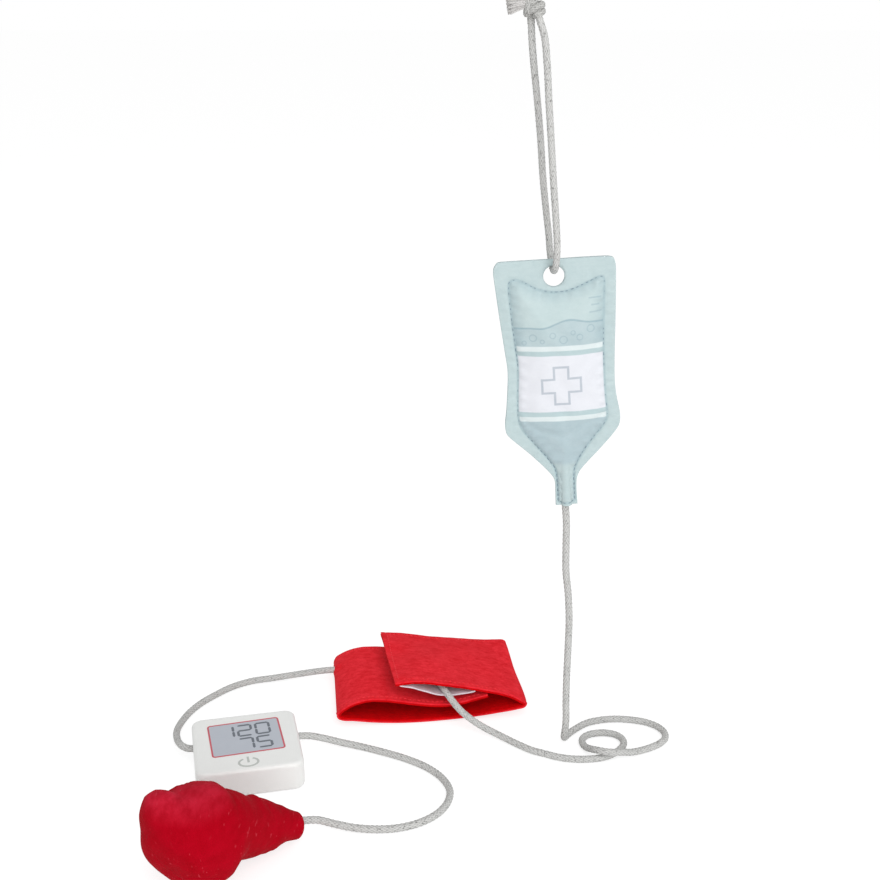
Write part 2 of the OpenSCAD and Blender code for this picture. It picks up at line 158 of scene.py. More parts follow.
def rounded(points: Points, passes: int, closed: bool = False) -> Array:
    """Rounds the corners of a line by cutting each at a quarter of its sides.

    Args:
        points: The corners.
        passes: How many times the corners are cut.
        closed: Whether the last corner joins the first.

    Returns:
        The points of the rounded line.
    """
    p = np.asarray(points, float)
    for _ in range(passes):
        q = np.vstack([p, p[:1]]) if closed else p
        cut = np.stack([q[:-1] * 0.75 + q[1:] * 0.25,
                        q[:-1] * 0.25 + q[1:] * 0.75], axis=1).reshape(-1, q.shape[1])
        p = cut if closed else np.vstack([p[:1], cut[1:-1], p[-1:]])
    return p


def spaced(length: float, step: float, rim: float, start: bool = True,
           end: bool = True) -> Array:
    """Positions from 0 to length, closer together within the rim at an end.

    Args:
        length: The whole length.
        step: Distance between positions away from the ends.
        rim: Width of the rim, whose edge is to be rounded.
        start: Whether the start has such a rim.
        end: Whether the end has one.

    Returns:
        The positions, in rising order.
    """
    fine = np.array([0, 0.08, 0.28, 0.6]) * rim
    low, high = (rim if start else 0.0), length - (rim if end else 0.0)
    middle = np.linspace(low, high, max(2, round((high - low) / step) + 1))
    return np.concatenate([fine[: 4 * start], middle, (length - fine[::-1])[: 4 * end]])


def rim_share(at: Array, length: float, rim: float, start: bool = True,
              end: bool = True) -> Array:
    """Share of the full thickness near rounded ends: a quarter circle.

    Args:
        at: Distances from the start.
        length: The whole length.
        rim: Width of the rounded rim.
        start: Whether the start is rounded.
        end: Whether the end is.

    Returns:
        The share at each distance, 0.3 at the very end.
    """
    gap = np.full(at.shape, rim)
    if start:
        gap = np.minimum(gap, at)
    if end:
        gap = np.minimum(gap, length - at)
    e = 1 - np.clip(gap / rim, 0, 1)
    return 0.3 + 0.7 * np.sqrt(1 - e * e)


def to_outline(at: Array, outline: Array) -> tuple[Array, Array]:
    """Distance from points to a closed outline and the nearest place on it.

    Args:
        at: The points, two numbers in each row.
        outline: The outline's corners, two numbers in each row.

    Returns:
        The distance, positive inside, and the distance along the outline of
        the nearest place.
    """
    a, b = outline, np.roll(outline, -1, axis=0)
    edge = b - a
    size = np.linalg.norm(edge, axis=1)
    rel = at[:, None] - a[None]
    t = np.clip((rel * edge).sum(-1) / size**2, 0, 1)
    gap = np.linalg.norm(rel - t[..., None] * edge, axis=-1)
    k = gap.argmin(axis=1)
    rows = np.arange(len(at))
    arc = np.concatenate([[0], np.cumsum(size)])[k] + t[rows, k] * size[k]
    x, y = at[:, :1], at[:, 1:]
    cross = ((a[:, 1] > y) != (b[:, 1] > y)) & (
        x < edge[:, 0] * (y - a[:, 1]) / np.where(edge[:, 1] == 0, 1, edge[:, 1]) + a[:, 0])
    inside = cross.sum(axis=1) % 2 == 1
    return np.where(inside, 1, -1) * gap[rows, k], arc


# ------------------------------------------------------------------- meshes


@dataclass
class Shape:
    """A surface before it becomes a piece: points in millimetres and faces."""

    points: Array
    faces: Array
    values: dict[str, Array] = field(default_factory=dict)
    uv: Array | None = None

    def placed(self, matrix: Array, at: Array | Points) -> "Shape":
        """The same surface, turned by a matrix and then moved."""
        moved = self.points @ np.asarray(matrix).T + np.asarray(at)
        return Shape(moved, self.faces, self.values, self.uv)


def linked(thing: bpy.types.Object) -> bpy.types.Object:
    """An object, once it is in the scene."""
    bpy.context.scene.collection.objects.link(thing)
    return thing


def joined(shapes: list[Shape]) -> Shape:
    """Several surfaces as one, with the values that the first one has.

    Args:
        shapes: The surfaces, each with those values.

    Returns:
        One surface, without UVs.
    """
    starts = np.cumsum([0] + [len(s.points) for s in shapes[:-1]])
    faces = np.vstack([s.faces + n for s, n in zip(shapes, starts)])
    values = {k: np.concatenate([s.values[k] for s in shapes]) for k in shapes[0].values}
    return Shape(np.vstack([s.points for s in shapes]), faces, values)


def cells(ids: Array) -> Array:
    """The four corners of each cell of a grid of point numbers."""
    return np.stack([ids[:-1, :-1], ids[:-1, 1:], ids[1:, 1:], ids[1:, :-1]], axis=-1)


def rims(ids: Array, keep: Array, outside: bool) -> list[tuple[Array, Array]]:
    """The edges where the kept cells of a grid end.

    Args:
        ids: The grid's point numbers.
        keep: Which cells are kept.
        outside: Whether the grid goes on past its own border.

    Returns:
        For each of a cell's four sides, the numbers of the edges' two ends.
    """
    rows, cols = ids.shape
    corners, near = cells(ids), np.pad(keep, 1, constant_values=outside)
    found = []
    for i, (dr, dc) in enumerate(((-1, 0), (0, 1), (1, 0), (0, -1))):
        beside = near[1 + dr: rows + dr, 1 + dc: cols + dc]
        found.append(tuple(corners[..., j % 4][keep & ~beside] for j in (i, i + 1)))
    return found


def punched(x: Array, z: Array, hole: float, block: float) -> tuple[Array, Array, Array]:
    """Draws the square lines of a grid round a hole in to a circle.

    A point at the larger of |x| and |z| equal to m moves to distance m from
    the centre at the hole, and stays where it is at the block's edge.

    Args:
        x: First coordinate of the grid's points, from the hole's centre.
        z: Second coordinate.
        hole: Radius of the hole.
        block: Half width of the square block that is drawn in.

    Returns:
        Both coordinates once moved, and which cells the hole leaves.
    """
    m = np.maximum(np.abs(x), np.abs(z))
    share = np.clip((block - m) / (block - hole), 0, 1)
    pull = 1 + share * (m / np.maximum(np.hypot(x, z), 1e-9) - 1)
    middle = [(v[:-1, :-1] + v[1:, 1:]) / 2 for v in (x, z)]
    return x * pull, z * pull, np.maximum(*map(np.abs, middle)) > hole


def slab(front: Array, back: Array, keep: Array | None = None) -> Shape:
    """Closed solid between two grids of points.

    Args:
        front: Rows by columns by three, one skin.
        back: The other skin.
        keep: Which cells are kept, all if it is left out.

    Returns:
        The two skins and the walls round every edge of the kept cells.
    """
    rows, cols = front.shape[:2]
    n = rows * cols
    ids = np.arange(n).reshape(rows, cols)
    keep = np.ones((rows - 1, cols - 1), bool) if keep is None else keep
    skin = cells(ids)[keep]
    walls = [np.stack([q, p, p + n, q + n], axis=-1) for p, q in rims(ids, keep, False)]
    faces = np.vstack([skin, skin[:, ::-1] + n, *walls])
    return Shape(np.vstack([front.reshape(-1, 3), back.reshape(-1, 3)]), faces)


def wound(rings: Array) -> Shape:
    """Open skin over closed rings of points, from the first to the last."""
    ids = np.arange(rings.shape[0] * rings.shape[1]).reshape(rings.shape[:2])
    return Shape(rings.reshape(-1, 3), cells(np.hstack([ids, ids[:, :1]])).reshape(-1, 4))


def lathe(rings: Array) -> Shape:
    """Closed skin over rings of points; the first and last shrink to a point."""
    first, last = (np.repeat(r.mean(axis=1)[:, None], rings.shape[1], 1)
                   for r in (rings[:1], rings[-1:]))
    return wound(np.concatenate([first, rings, last]))


def threads(middle: Array, thin: Array, side: Array | Points, up: Array | Points,
            sides: int) -> Shape:
    """Many thin tubes as one surface.

    Args:
        middle: Their middles, tubes by points by three.
        thin: Radius at each point of a tube.
        side: A cross direction for each point, or one for all.
        up: The other cross direction.
        sides: How many corners a tube has round it.

    Returns:
        The tubes, closed at their ends.
    """
    angle = (np.arange(sides) * 2 * math.pi / sides)[:, None]
    side, up = (np.asarray(v, float)[..., None, :] for v in (side, up))
    ring = np.cos(angle) * side + np.sin(angle) * up
    tubes = middle[:, :, None] + thin[None, :, None, None] * ring
    return joined([lathe(tube) for tube in tubes])


def welded(shape: Shape) -> tuple[Shape, list[Array]]:
    """Joins points that coincide and turns the quads that shrink into triangles.

    Args:
        shape: A surface made of four-cornered faces.

    Returns:
        The surface with its points joined, and its faces as one array of
        quads and one of triangles.
    """
    key = np.round(shape.points / 1e-5).astype(np.int64)
    _, first, back = np.unique(key, axis=0, return_index=True, return_inverse=True)
    faces = back.reshape(-1)[shape.faces]
    used, faces = np.unique(faces, return_inverse=True)
    faces = faces.reshape(-1, 4)
    first = first[used]
    same = faces == np.roll(faces, -1, axis=1)
    lost = same.sum(axis=1)
    parts = [faces[lost == 0], faces[lost == 1][~same[lost == 1]].reshape(-1, 3)]
    values = {k: v[first] for k, v in shape.values.items()}
    uv = None if shape.uv is None else shape.uv[first]
    return Shape(shape.points[first], faces, values, uv), parts


def volume(points: Array, parts: list[Array]) -> float:
    """Volume inside closed faces, negative if they face inwards.

    Args:
        points: The faces' points.
        parts: Faces of three or of four corners, an array of each.

    Returns:
        The volume, in the cube of the points' unit.
    """
    total = 0.0
    for faces in parts:
        for i in range(1, faces.shape[1] - 1):
            a, b, c = (points[faces[:, j]] for j in (0, i, i + 1))
            total += float(np.einsum("ij,ij->", a, np.cross(b, c))) / 6
    return total


def add_piece(name: str, shape: Shape, finish: bpy.types.Material, slot: str,
              node: str = "", body: Body | None = None,
              smooth: bool = True) -> bpy.types.Object:
    """Makes a piece from a surface, with its faces turned outwards.

    Args:
        name: The piece's name.
        shape: Its surface, in millimetres.
        finish: Its material.
        slot: The record's material slot; not used.
        node: The CAD node that it is shown in place of, if there is one.
        body: The body that it rides on, if it rides on one.
        smooth: Whether its faces are shaded smooth.

    Returns:
        The new object, at the origin.
    """
    shape, parts = welded(shape)
    if volume(shape.points, parts) < 0:
        parts = [p[:, ::-1] for p in parts]
    corners = np.concatenate([p.ravel() for p in parts])
    sizes = np.concatenate([np.full(len(p), p.shape[1]) for p in parts])
    mesh = bpy.data.meshes.new(name)
    mesh.vertices.add(len(shape.points))
    mesh.vertices.foreach_set("co", (shape.points * MM).astype(np.float32).ravel())
    mesh.loops.add(len(corners))
    mesh.loops.foreach_set("vertex_index", corners.astype(np.int32))
    mesh.polygons.add(len(sizes))
    starts = np.concatenate([[0], np.cumsum(sizes)[:-1]])
    mesh.polygons.foreach_set("loop_start", starts.astype(np.int32))
    mesh.update(calc_edges=True)
    mesh.polygons.foreach_set("use_smooth", np.full(len(sizes), smooth))
    for key, value in shape.values.items():
        layer = mesh.attributes.new(key, "FLOAT", "POINT")
        layer.data.foreach_set("value", value.astype(np.float32))
    if shape.uv is not None:
        layer = mesh.uv_layers.new(name="print")
        layer.data.foreach_set("uv", shape.uv[corners].astype(np.float32).ravel())
    mesh.materials.append(finish)
    piece = linked(bpy.data.objects.new(name, mesh))
    if node:
        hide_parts(node)
    if body:
        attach(piece, body.value)
    LOG.info("%s: %d faces", name, len(sizes))
    return piece


def carried(line: Array, start: Array | Points) -> tuple[Array, Array]:
    """Two cross directions at each point of a line, carried without twist.

    Args:
        line: The points of the line.
        start: A direction that the first cross direction is near.

    Returns:
        Two arrays of unit vectors, square to the line and to each other.
    """
    heading = unit(np.gradient(line, axis=0))
    side = np.empty_like(line)
    last = np.asarray(start, float)
    for i, h in enumerate(heading):
        last = last - (last @ h) * h
        last = last / np.linalg.norm(last)
        side[i] = last
    return side, np.cross(heading, side)


# ---------------------------------------------------------------- materials


def srgb(code: str) -> Colour:
    """The linear colour of a code such as #ff8800."""
    parts = [int(code[i: i + 2], 16) / 255 for i in (1, 3, 5)]
    r, g, b = (c / 12.92 if c <= 0.04045 else ((c + 0.055) / 1.055) ** 2.4 for c in parts)
    return r, g, b, 1.0


class Value:
    """A number or colour on a surface that takes part in Python sums."""

    def __init__(self, shader: "Shader", socket: bpy.types.NodeSocket) -> None:
        """Wraps a node's output."""
        self.shader = shader
        self.socket = socket

    def __add__(self, other: "Value | float") -> "Value":
        """Sum."""
        return self.shader.math("ADD", self, other)

    __radd__ = __add__

    def __sub__(self, other: "Value | float") -> "Value":
        """Difference."""
        return self.shader.math("SUBTRACT", self, other)

    def __rsub__(self, other: float) -> "Value":
        """Difference from a number."""
        return self.shader.math("SUBTRACT", other, self)

    def __mul__(self, other: "Value | float") -> "Value":
        """Product."""
        return self.shader.math("MULTIPLY", self, other)

    __rmul__ = __mul__

    def __truediv__(self, other: "Value | float") -> "Value":
        """Quotient."""
        return self.shader.math("DIVIDE", self, other)

    def abs(self) -> "Value":
        """Size without its sign."""
        return self.shader.math("ABSOLUTE", self)

    def sin(self) -> "Value":
        """Sine of an angle in radians."""
        return self.shader.math("SINE", self)

    def at_least(self, other: "Value | float") -> "Value":
        """The larger of two."""
        return self.shader.math("MAXIMUM", self, other)

    def at_most(self, other: "Value | float") -> "Value":
        """The smaller of two."""
        return self.shader.math("MINIMUM", self, other)

    def step(self, low: float, high: float) -> "Value":
        """Rises smoothly from 0 at low to 1 at high, or falls if low is above.

        Args:
            low: Where the result is 0.
            high: Where it is 1.

        Returns:
            The result, flat past both.
        """
        rising = low < high
        node = self.shader.node(
            "ShaderNodeMapRange", {"interpolation_type": "SMOOTHSTEP"},
            {"Value": self, "From Min": min(low, high), "From Max": max(low, high),
             "To Min": float(not rising), "To Max": float(rising)})
        return self.shader.value(node)


class Shader:
    """Builds the nodes of one material, or of the world."""

    def __init__(self, name: str, world: bool = False) -> None:
        """Makes an empty material, or a world.

        Args:
            name: Its name.
            world: Whether it is a world.
        """
        store = bpy.data.worlds if world else bpy.data.materials
        self.material = store.new(name)
        self.material.use_nodes = True
        self.tree = self.material.node_tree
        self.tree.nodes.clear()

    def node(self, kind: str, settings: dict[str, object] | None = None,
             inputs: dict[str | int, object] | None = None) -> bpy.types.Node:
        """Makes a node.

        Args:
            kind: Its type.
            settings: Its own settings, set before its sockets.
            inputs: A value or a link for each socket named.

        Returns:
            The node.
        """
        made = self.tree.nodes.new(kind)
        for key, value in (settings or {}).items():
            setattr(made, key, value)
        for key, value in (inputs or {}).items():
            if isinstance(value, Value):
                self.tree.links.new(value.socket, made.inputs[key])
            else:
                made.inputs[key].default_value = value
        return made

    def value(self, node: bpy.types.Node, output: str | int = 0) -> Value:
        """One output of a node, as a value."""
        return Value(self, node.outputs[output])

    def math(self, operation: str, *values: Value | float) -> Value:
        """A Math node's result."""
        return self.value(self.node("ShaderNodeMath", {"operation": operation},
                                    dict(enumerate(values))))

    def mix(self, share: Value | float, low: Value | Colour, high: Value | Colour) -> Value:
        """A colour between two: the low one at share 0, the high one at 1."""
        node = self.node("ShaderNodeMix", {"data_type": "RGBA"},
                         {0: share, 6: low, 7: high})
        return self.value(node, 2)

    def two_tone(self, share: Value, deep: str, pale: str) -> Value:
        """A colour between two codes, with the share kept between 0 and 1."""
        return self.mix(share.at_least(0.0).at_most(1.0), srgb(deep), srgb(pale))

    def axes(self, at: Value) -> list[Value]:
        """The three numbers of a vector."""
        split = self.node("ShaderNodeSeparateXYZ", None, {"Vector": at})
        return [self.value(split, i) for i in range(3)]

    def place(self, stretch: Spot = (1, 1, 1), degrees: float = 0.0) -> Value:
        """Object coordinates, turned about Z and stretched.

        Args:
            stretch: Factor for each axis.
            degrees: The turn.

        Returns:
            The coordinates, in metres.
        """
        at = self.value(self.node("ShaderNodeTexCoord"), "Object")
        node = self.node("ShaderNodeMapping", None,
                         {"Vector": at, "Rotation": (0, 0, math.radians(degrees)),
                          "Scale": stretch})
        return self.value(node)

    def noise(self, at: Value, size: float, detail: float = 2.0,
              roughness: float = 0.5) -> Value:
        """Cloudy noise.

        Args:
            at: The coordinates, in metres.
            size: How wide one cloud is, in millimetres.
            detail: How many finer layers it has.
            roughness: How strong those are.

        Returns:
            A value about 0.5.
        """
        node = self.node("ShaderNodeTexNoise", None,
                         {"Vector": at, "Scale": 1 / (size * MM), "Detail": detail,
                          "Roughness": roughness})
        return self.value(node, "Fac")

    def attribute(self, name: str) -> Value:
        """A number that the piece's mesh carries."""
        return self.value(self.node("ShaderNodeAttribute", {"attribute_name": name}), "Fac")

    def bump(self, height: Value, depth: float) -> Value:
        """A surface direction raised by a height of that many millimetres."""
        node = self.node("ShaderNodeBump", None,
                         {"Height": height, "Distance": depth * MM, "Strength": 1.0})
        return self.value(node)

    def close(self, colour: Value | Colour, roughness: Value | float,
              normal: Value | None = None, **constants: object) -> bpy.types.Material:
        """Ends the material in its surface shader.

        Args:
            colour: Base colour.
            roughness: Roughness.
            normal: Surface direction, if it is bumped.
            constants: Other sockets, with underscores for their spaces.

        Returns:
            The finished material.
        """
        inputs = {"Base Color": colour, "Roughness": roughness}
        inputs.update({k.replace("_", " "): v for k, v in constants.items()})
        if normal is not None:
            inputs["Normal"] = normal
        surface = self.node("ShaderNodeBsdfPrincipled", None, inputs)
        self.node("ShaderNodeOutputMaterial", None, {"Surface": self.value(surface)})
        return self.material


class Finish:
    """How a surface looks."""

    def material(self, name: str) -> bpy.types.Material:
        """The finished material.

        Args:
            name: Its name.

        Returns:
            The material, with the nodes that dress gives it.
        """
        return self.dress(Shader(name))

    def dress(self, shader: Shader) -> bpy.types.Material:
        """Fills an empty material with nodes.

        Args:
            shader: Makes the nodes.

        Returns:
            The material, as Shader.close gives it.
        """
        raise NotImplementedError


@dataclass(frozen=True)
class Felt(Finish):
    """Needled felt: matted fibres, soft clouds of tone and a dry nap."""

    pale: str
    deep: str
    fibre: float = 0.7
    depth: float = 0.16
    cloud: float = 9.0
    sheen: float = 0.05
    fleck: float = 2.4
    contrast: float = 1.0

    def tones(self, shader: Shader) -> tuple[Value, Value]:
        """The share of the pale colour, and the height of the fibres.

        Args:
            shader: The material's nodes.

        Returns:
            Both, from 0 to 1.
        """
        fibres = shader.noise(shader.place((1, 0.4, 1), 35), self.fibre, 5, 0.65)
        crossing = shader.noise(shader.place((0.35, 1, 1), -20), self.fibre, 4, 0.6)
        nap = fibres * 0.5 + crossing * 0.5
        clouds = shader.noise(shader.place(), self.cloud, 3, 0.55)
        flecks = shader.noise(shader.place((0.45, 1, 1), 8), self.fleck, 3, 0.6)
        share = ((clouds - 0.5) * 1.1 + (nap - 0.5) * 1.7 + (flecks - 0.5) * 1.6) * (
            self.contrast) + 0.55
        return share.at_least(0.0).at_most(1.0), nap * 0.6 + flecks * 0.4

    def dress(self, shader: Shader) -> bpy.types.Material:
        """Fills the material's nodes."""
        share, nap = self.tones(shader)
        colour = shader.mix(share, srgb(self.deep), srgb(self.pale))
        return shader.close(colour, 0.95, shader.bump(nap, self.depth),
                            Sheen_Weight=self.sheen, Sheen_Roughness=0.5,
                            Specular_IOR_Level=0.08)


@dataclass(frozen=True)
class Velour(Finish):
    """Short-piled cloth, with crushed patches, a little pale lint and a painted highlight on its
    top.
    """

    pale: str
    deep: str
    lint: str
    painted_top_light: str
    painted_top_light_from: float = 50.0
    painted_top_light_to: float = 66.0

    def dress(self, shader: Shader) -> bpy.types.Material:
        """Fills the material's nodes."""
        crushed = shader.noise(shader.place((1, 0.5, 1), 30), 7, 4, 0.6)
        pile = shader.noise(shader.place(), 0.5, 3, 0.6)
        share = (crushed - 0.5) * 1.5 + (pile - 0.5) * 0.7 + 0.45
        colour = shader.two_tone(share, self.deep, self.pale)
        # Painted highlight: the cloth turns paler from a height upwards, broken up by the
        # crushed patches.
        height = shader.axes(shader.place())[2]
        painted_top_light = height.step(self.painted_top_light_from * MM, self.painted_top_light_to * MM)
        painted_top_light = painted_top_light * (crushed.step(0.3, 0.7) * 0.6 + 0.33)
        colour = shader.mix(painted_top_light, colour, srgb(self.painted_top_light))
        strands = shader.noise(shader.place((1, 0.12, 0.4), 50), 1.6, 2, 0.5)
        patches = shader.noise(shader.place(), 16, 2, 0.5)
        flecks = strands.step(0.64, 0.76) * patches.step(0.42, 0.6)
        colour = shader.mix(flecks * 0.4, colour, srgb(self.lint))
        return shader.close(colour, 0.9, shader.bump(crushed * 0.75 + pile * 0.25, 0.5),
                            Sheen_Weight=0.02, Sheen_Roughness=0.4,
                            Specular_IOR_Level=0.04)


@dataclass(frozen=True)
class Yarn(Finish):
    """Cotton yarn: painted shade between the strands, with fine loose hairs."""

    pale: str
    deep: str
    speck: float = 1.4

    def dress(self, shader: Shader) -> bpy.types.Material:
        """Fills the nodes; the mesh's relief tells strand from groove, and the grooves get
        painted shade.
        """
        relief = shader.attribute("relief")
        at = shader.place()
        hairs = shader.noise(at, 0.35, 3, 0.7)
        specks = shader.noise(at, self.speck, 3, 0.6).step(0.52, 0.68)
        # Painted shade: the relief term darkens the grooves between the strands.
        share = relief * 0.8 + (hairs - 0.5) * 1.1 - specks * 0.7 + 0.38
        colour = shader.two_tone(share, self.deep, self.pale)
        return shader.close(colour, 0.9, shader.bump(hairs, 0.08),
                            Sheen_Weight=0.1, Specular_IOR_Level=0.15)


@dataclass(frozen=True)
class Paint(Finish):
    """Satin paint over sanded wood, with a trace of its grain."""

    colour: str
    shade: str
    roughness: float = 0.38

    def dress(self, shader: Shader) -> bpy.types.Material:
        """Fills the material's nodes."""
        grain = shader.noise(shader.place((1, 0.06, 1), 12), 0.6, 3, 0.6)
        patches = shader.noise(shader.place(), 14, 3, 0.6)
        peel = shader.noise(shader.place(), 1.1, 2, 0.5)
        share = (patches - 0.5) * 0.9 + (grain - 0.5) * 0.5 + 0.5
        colour = shader.two_tone(share, self.shade, self.colour)
        rough = self.roughness + (patches - 0.5) * 0.16
        height = grain * 0.6 + peel * 0.4
        return shader.close(colour, rough, shader.bump(height, 0.05),
                            Coat_Weight=0.15, Coat_Roughness=0.3)


@dataclass(frozen=True)
class Ink(Finish):
    """A printed colour, a little uneven as it lies on paint."""

    colour: str
    worn: str
    roughness: float = 0.45

    def dress(self, shader: Shader) -> bpy.types.Material:
        """Fills the material's nodes."""
        grain = shader.noise(shader.place(), 0.5, 4, 0.7)
        patches = shader.noise(shader.place(), 6, 3, 0.6)
        share = (grain - 0.5) * 1.2 + (patches - 0.5) * 0.8 + 0.5
        colour = shader.two_tone(share, self.worn, self.colour)
        return shader.close(colour, self.roughness + (grain - 0.5) * 0.2,
                            shader.bump(grain, 0.02))


@dataclass(frozen=True)
class BagPrint(Finish):
    """The drip bag's face: felt with a printed chamber, level and label.

    Places are in the bag's own millimetres, across and up from the centre of
    its hole, which the print's UV map carries at UV_SCALE and UV_SHIFT.
    """

    felt: Felt
    chamber: str = "#b2c4c5"
    liquid: str = "#a1b5bb"
    line: str = "#84a0aa"
    label: str = "#d6d8de"
    stripe: str = "#a8bdc0"
    white: str = "#cfd9da"
    mark: str = "#a9b1bb"
    level: float = -29.0
    deepens: Pair = (-34.0, -48.0)
    label_top: float = -48.6
    label_low: float = -85.0
    print_low: float = -121.0
    bubbles: Points = ((-15, -36.5, 2.1), (-9.5, -39, 1.2), (-3, -35.5, 1.7),
                       (3.5, -38.6, 2.3), (9.5, -34.5, 1.3), (13.5, -37.6, 1.8),
                       (20.5, -33, 2.2), (-20.5, -39.6, 1.3))
    cross_at: Pair = (1.0, -68.0)
    cross_reach: float = 12.0
    cross_half: float = 4.4
    ticks: Points = ((-14.0, 3.6), (-18.4, 2.2), (-22.8, 3.6))
    tick_x: float = 24.0

    UV_SCALE = (200.0, 200.0)
    UV_SHIFT = (-100.0, -170.0)

    def box(self, x: Value, z: Value, half: float, tall: float) -> Value:
        """Distance outside a box of those half sizes, negative within it."""
        return (x.abs() - half).at_least(z.abs() - tall)

    def fluid(self, shader: Shader, z: Value, surface: Value) -> Value:
        """The chamber's colour, with the liquid's below its surface.

        Args:
            shader: The material's nodes.
            z: Height in the bag.
            surface: Height of the liquid's surface.

        Returns:
            The colour, with painted shade towards the seam.
        """
        cloud = shader.noise(shader.place(), 16, 2, 0.5)
        tone = shader.two_tone(cloud - 0.25, self.liquid, self.chamber)
        wet = (surface - z).step(0, 0.7)
        colour = shader.mix(wet * 0.75, srgb(self.chamber), tone)
        colour = shader.mix(z.step(*self.deepens) * 0.35, colour, srgb(self.liquid))
        # Painted shade: the print darkens towards the seam, where the panel dips in.
        painted_seam_shade = shader.attribute("inside").step(9, 0)
        return shader.mix(painted_seam_shade * 0.3, colour, srgb(self.line))

    def lines(self, shader: Shader, x: Value, z: Value, surface: Value) -> Value:
        """How strongly the surface, the bubbles and the ticks are drawn.

        Args:
            shader: The material's nodes.
            x: Distance across the bag.
            z: Height in it.
            surface: Height of the liquid's surface.

        Returns:
            The line colour's share.
        """
        drawn = (z - surface).abs().step(0.9, 0.2) * 0.8
        for bx, bz, radius in self.bubbles:
            away = shader.math("SQRT", (x - bx) * (x - bx) + (z - bz) * (z - bz))
            drawn = drawn.at_least((away - radius).abs().step(0.55, 0.1) * 0.55)
        for tz, half in self.ticks:
            mark = self.box(x - self.tick_x, z - tz, half, 0.1)
            drawn = drawn.at_least(mark.step(0.55, 0.15) * 0.5)
        return drawn

    def labelled(self, shader: Shader, colour: Value, x: Value, z: Value,
                 wobble: Value) -> Value:
        """The label with its borders and its cross, over another colour.

        Args:
            shader: The material's nodes.
            colour: The colour round the label.
            x: Distance across the bag.
            z: Height in it.
            wobble: Unevenness of the print's edges.

        Returns:
            The colour.
        """
        zs = z + ((x * 0.055).sin() * 0.5 + wobble * 0.3)
        colour = shader.mix((zs - self.label_low).step(0.2, -0.3), colour, srgb(self.liquid))
        tall = (self.label_top - self.label_low) / 2
        middle = (self.label_top + self.label_low) / 2
        for grow, code in ((6.2, self.white), (3.1, self.stripe), (0, self.label)):
            inside = ((zs - middle).abs() - (tall + grow)).step(0.35, -0.35)
            colour = shader.mix(inside, colour, srgb(code))
        cx, cz = x - self.cross_at[0], z - self.cross_at[1]
        plus = self.box(cx, cz, self.cross_reach, self.cross_half).at_most(
            self.box(cx, cz, self.cross_half, self.cross_reach))
        outline = (plus + wobble * 0.3).abs().step(0.95, 0.45)
        return shader.mix(outline * 0.9, colour, srgb(self.mark))

    def dress(self, shader: Shader) -> bpy.types.Material:
        """Fills the nodes; the mesh's inside is the distance within the seam."""
        share, nap = self.felt.tones(shader)
        bare = shader.mix(share, srgb(self.felt.deep), srgb(self.felt.pale))
        uv = shader.value(shader.node("ShaderNodeUVMap", {"uv_map": "print"}))
        x, z = (v * scale + shift for v, scale, shift in zip(
            shader.axes(uv), self.UV_SCALE, self.UV_SHIFT))
        wobble = (nap - 0.5) * 0.9
        surface = ((x * 0.115 + 0.4).sin() * 2.0 + (x * 0.26).sin() * 0.7
                   + self.level + wobble)
        colour = self.fluid(shader, z, surface)
        colour = shader.mix(self.lines(shader, x, z, surface), colour, srgb(self.line))
        colour = self.labelled(shader, colour, x, z, wobble)
        inside = shader.attribute("inside")
        printed = inside.step(0.1, 0.9) * (z - self.print_low).step(-2, 2)
        faded = shader.mix(share * 0.12, colour, srgb("#ffffff"))
        # Painted shadow: a dark line along the sewn groove of the seam.
        painted_groove_shade = inside.abs().step(1.3, 0.2) * 0.35
        dressed = shader.mix(painted_groove_shade, shader.mix(printed, bare, faded), srgb(self.line))
        return shader.close(dressed, 0.92, shader.bump(nap, self.felt.depth),
                            Sheen_Weight=0.1, Specular_IOR_Level=0.15)


@dataclass(frozen=True)
class Pile(Finish):
    """A fastener's face: short loops or hooks in even rows."""

    pale: str
    deep: str
    row: float = 1.6
    height: float = 0.3

    def dress(self, shader: Shader) -> bpy.types.Material:
        """Fills the material's nodes."""
        x, y, _ = shader.axes(shader.place((1, 1, 1), 6))
        pitch = 2 * math.pi / (self.row * MM)
        rows = (x * pitch).sin() * (y * pitch).sin()
        fuzz = shader.noise(shader.place(), 0.5, 4, 0.7)
        height = rows * 0.3 + fuzz * 0.7
        colour = shader.two_tone((height - 0.2) * 1.4, self.deep, self.pale)
        return shader.close(colour, 0.85, shader.bump(height, self.height),
                            Sheen_Weight=0.15)


# -------------------------------------------------------------------- cords


@dataclass
class Braid:
    """A braided cotton cord: two sets of strands that pass over each other."""

    diameter: float = 4.75
    strands: int = 8
    lay: float = 3.1
    relief: float = 0.4
    sides: int = 32
    ring: float = 0.5

    def surface(self, line: Array, start: Array | Points) -> Shape:
        """Tube along a line, with the braid's strands standing out.

        A strand of one set runs round as it goes along, the other set the
        other way. Where they cross, cos(a / 2) cos(b / 2) tells which lies on
        top, so the sets take turns.

        Args:
            line: The cord's middle, evenly spaced.
            start: A direction for the seam of the tube.

        Returns:
            The tube, closed at its ends, with its relief as a value.
        """
        side, other = carried(line, start)
        round_it = np.arange(self.sides) * 2 * math.pi / self.sides
        arc = arc_of(line)[:, None]
        a = self.strands * round_it + 2 * math.pi * arc / self.lay
        b = self.strands * round_it - 2 * math.pi * arc / self.lay
        over = 0.5 + 0.5 * np.cos(a / 2) * np.cos(b / 2)
        ridge = over * (0.5 + 0.5 * np.cos(a)) + (1 - over) * (0.5 + 0.5 * np.cos(b))
        ends = np.minimum(arc, arc[-1] - arc)
        close = np.sqrt(1 - (1 - np.clip(ends / 0.6, 0, 1)) ** 2) * 0.3 + 0.7
        radius = (self.diameter / 2 + self.relief * (ridge - 0.75)) * close
        rings = (line[:, None] + (radius * np.cos(round_it))[..., None] * side[:, None]
                 + (radius * np.sin(round_it))[..., None] * other[:, None])
        shape = lathe(rings)
        flat = np.full((1, self.sides), 0.3)
        shape.values["relief"] = np.vstack([flat, ridge, flat]).ravel()
        return shape


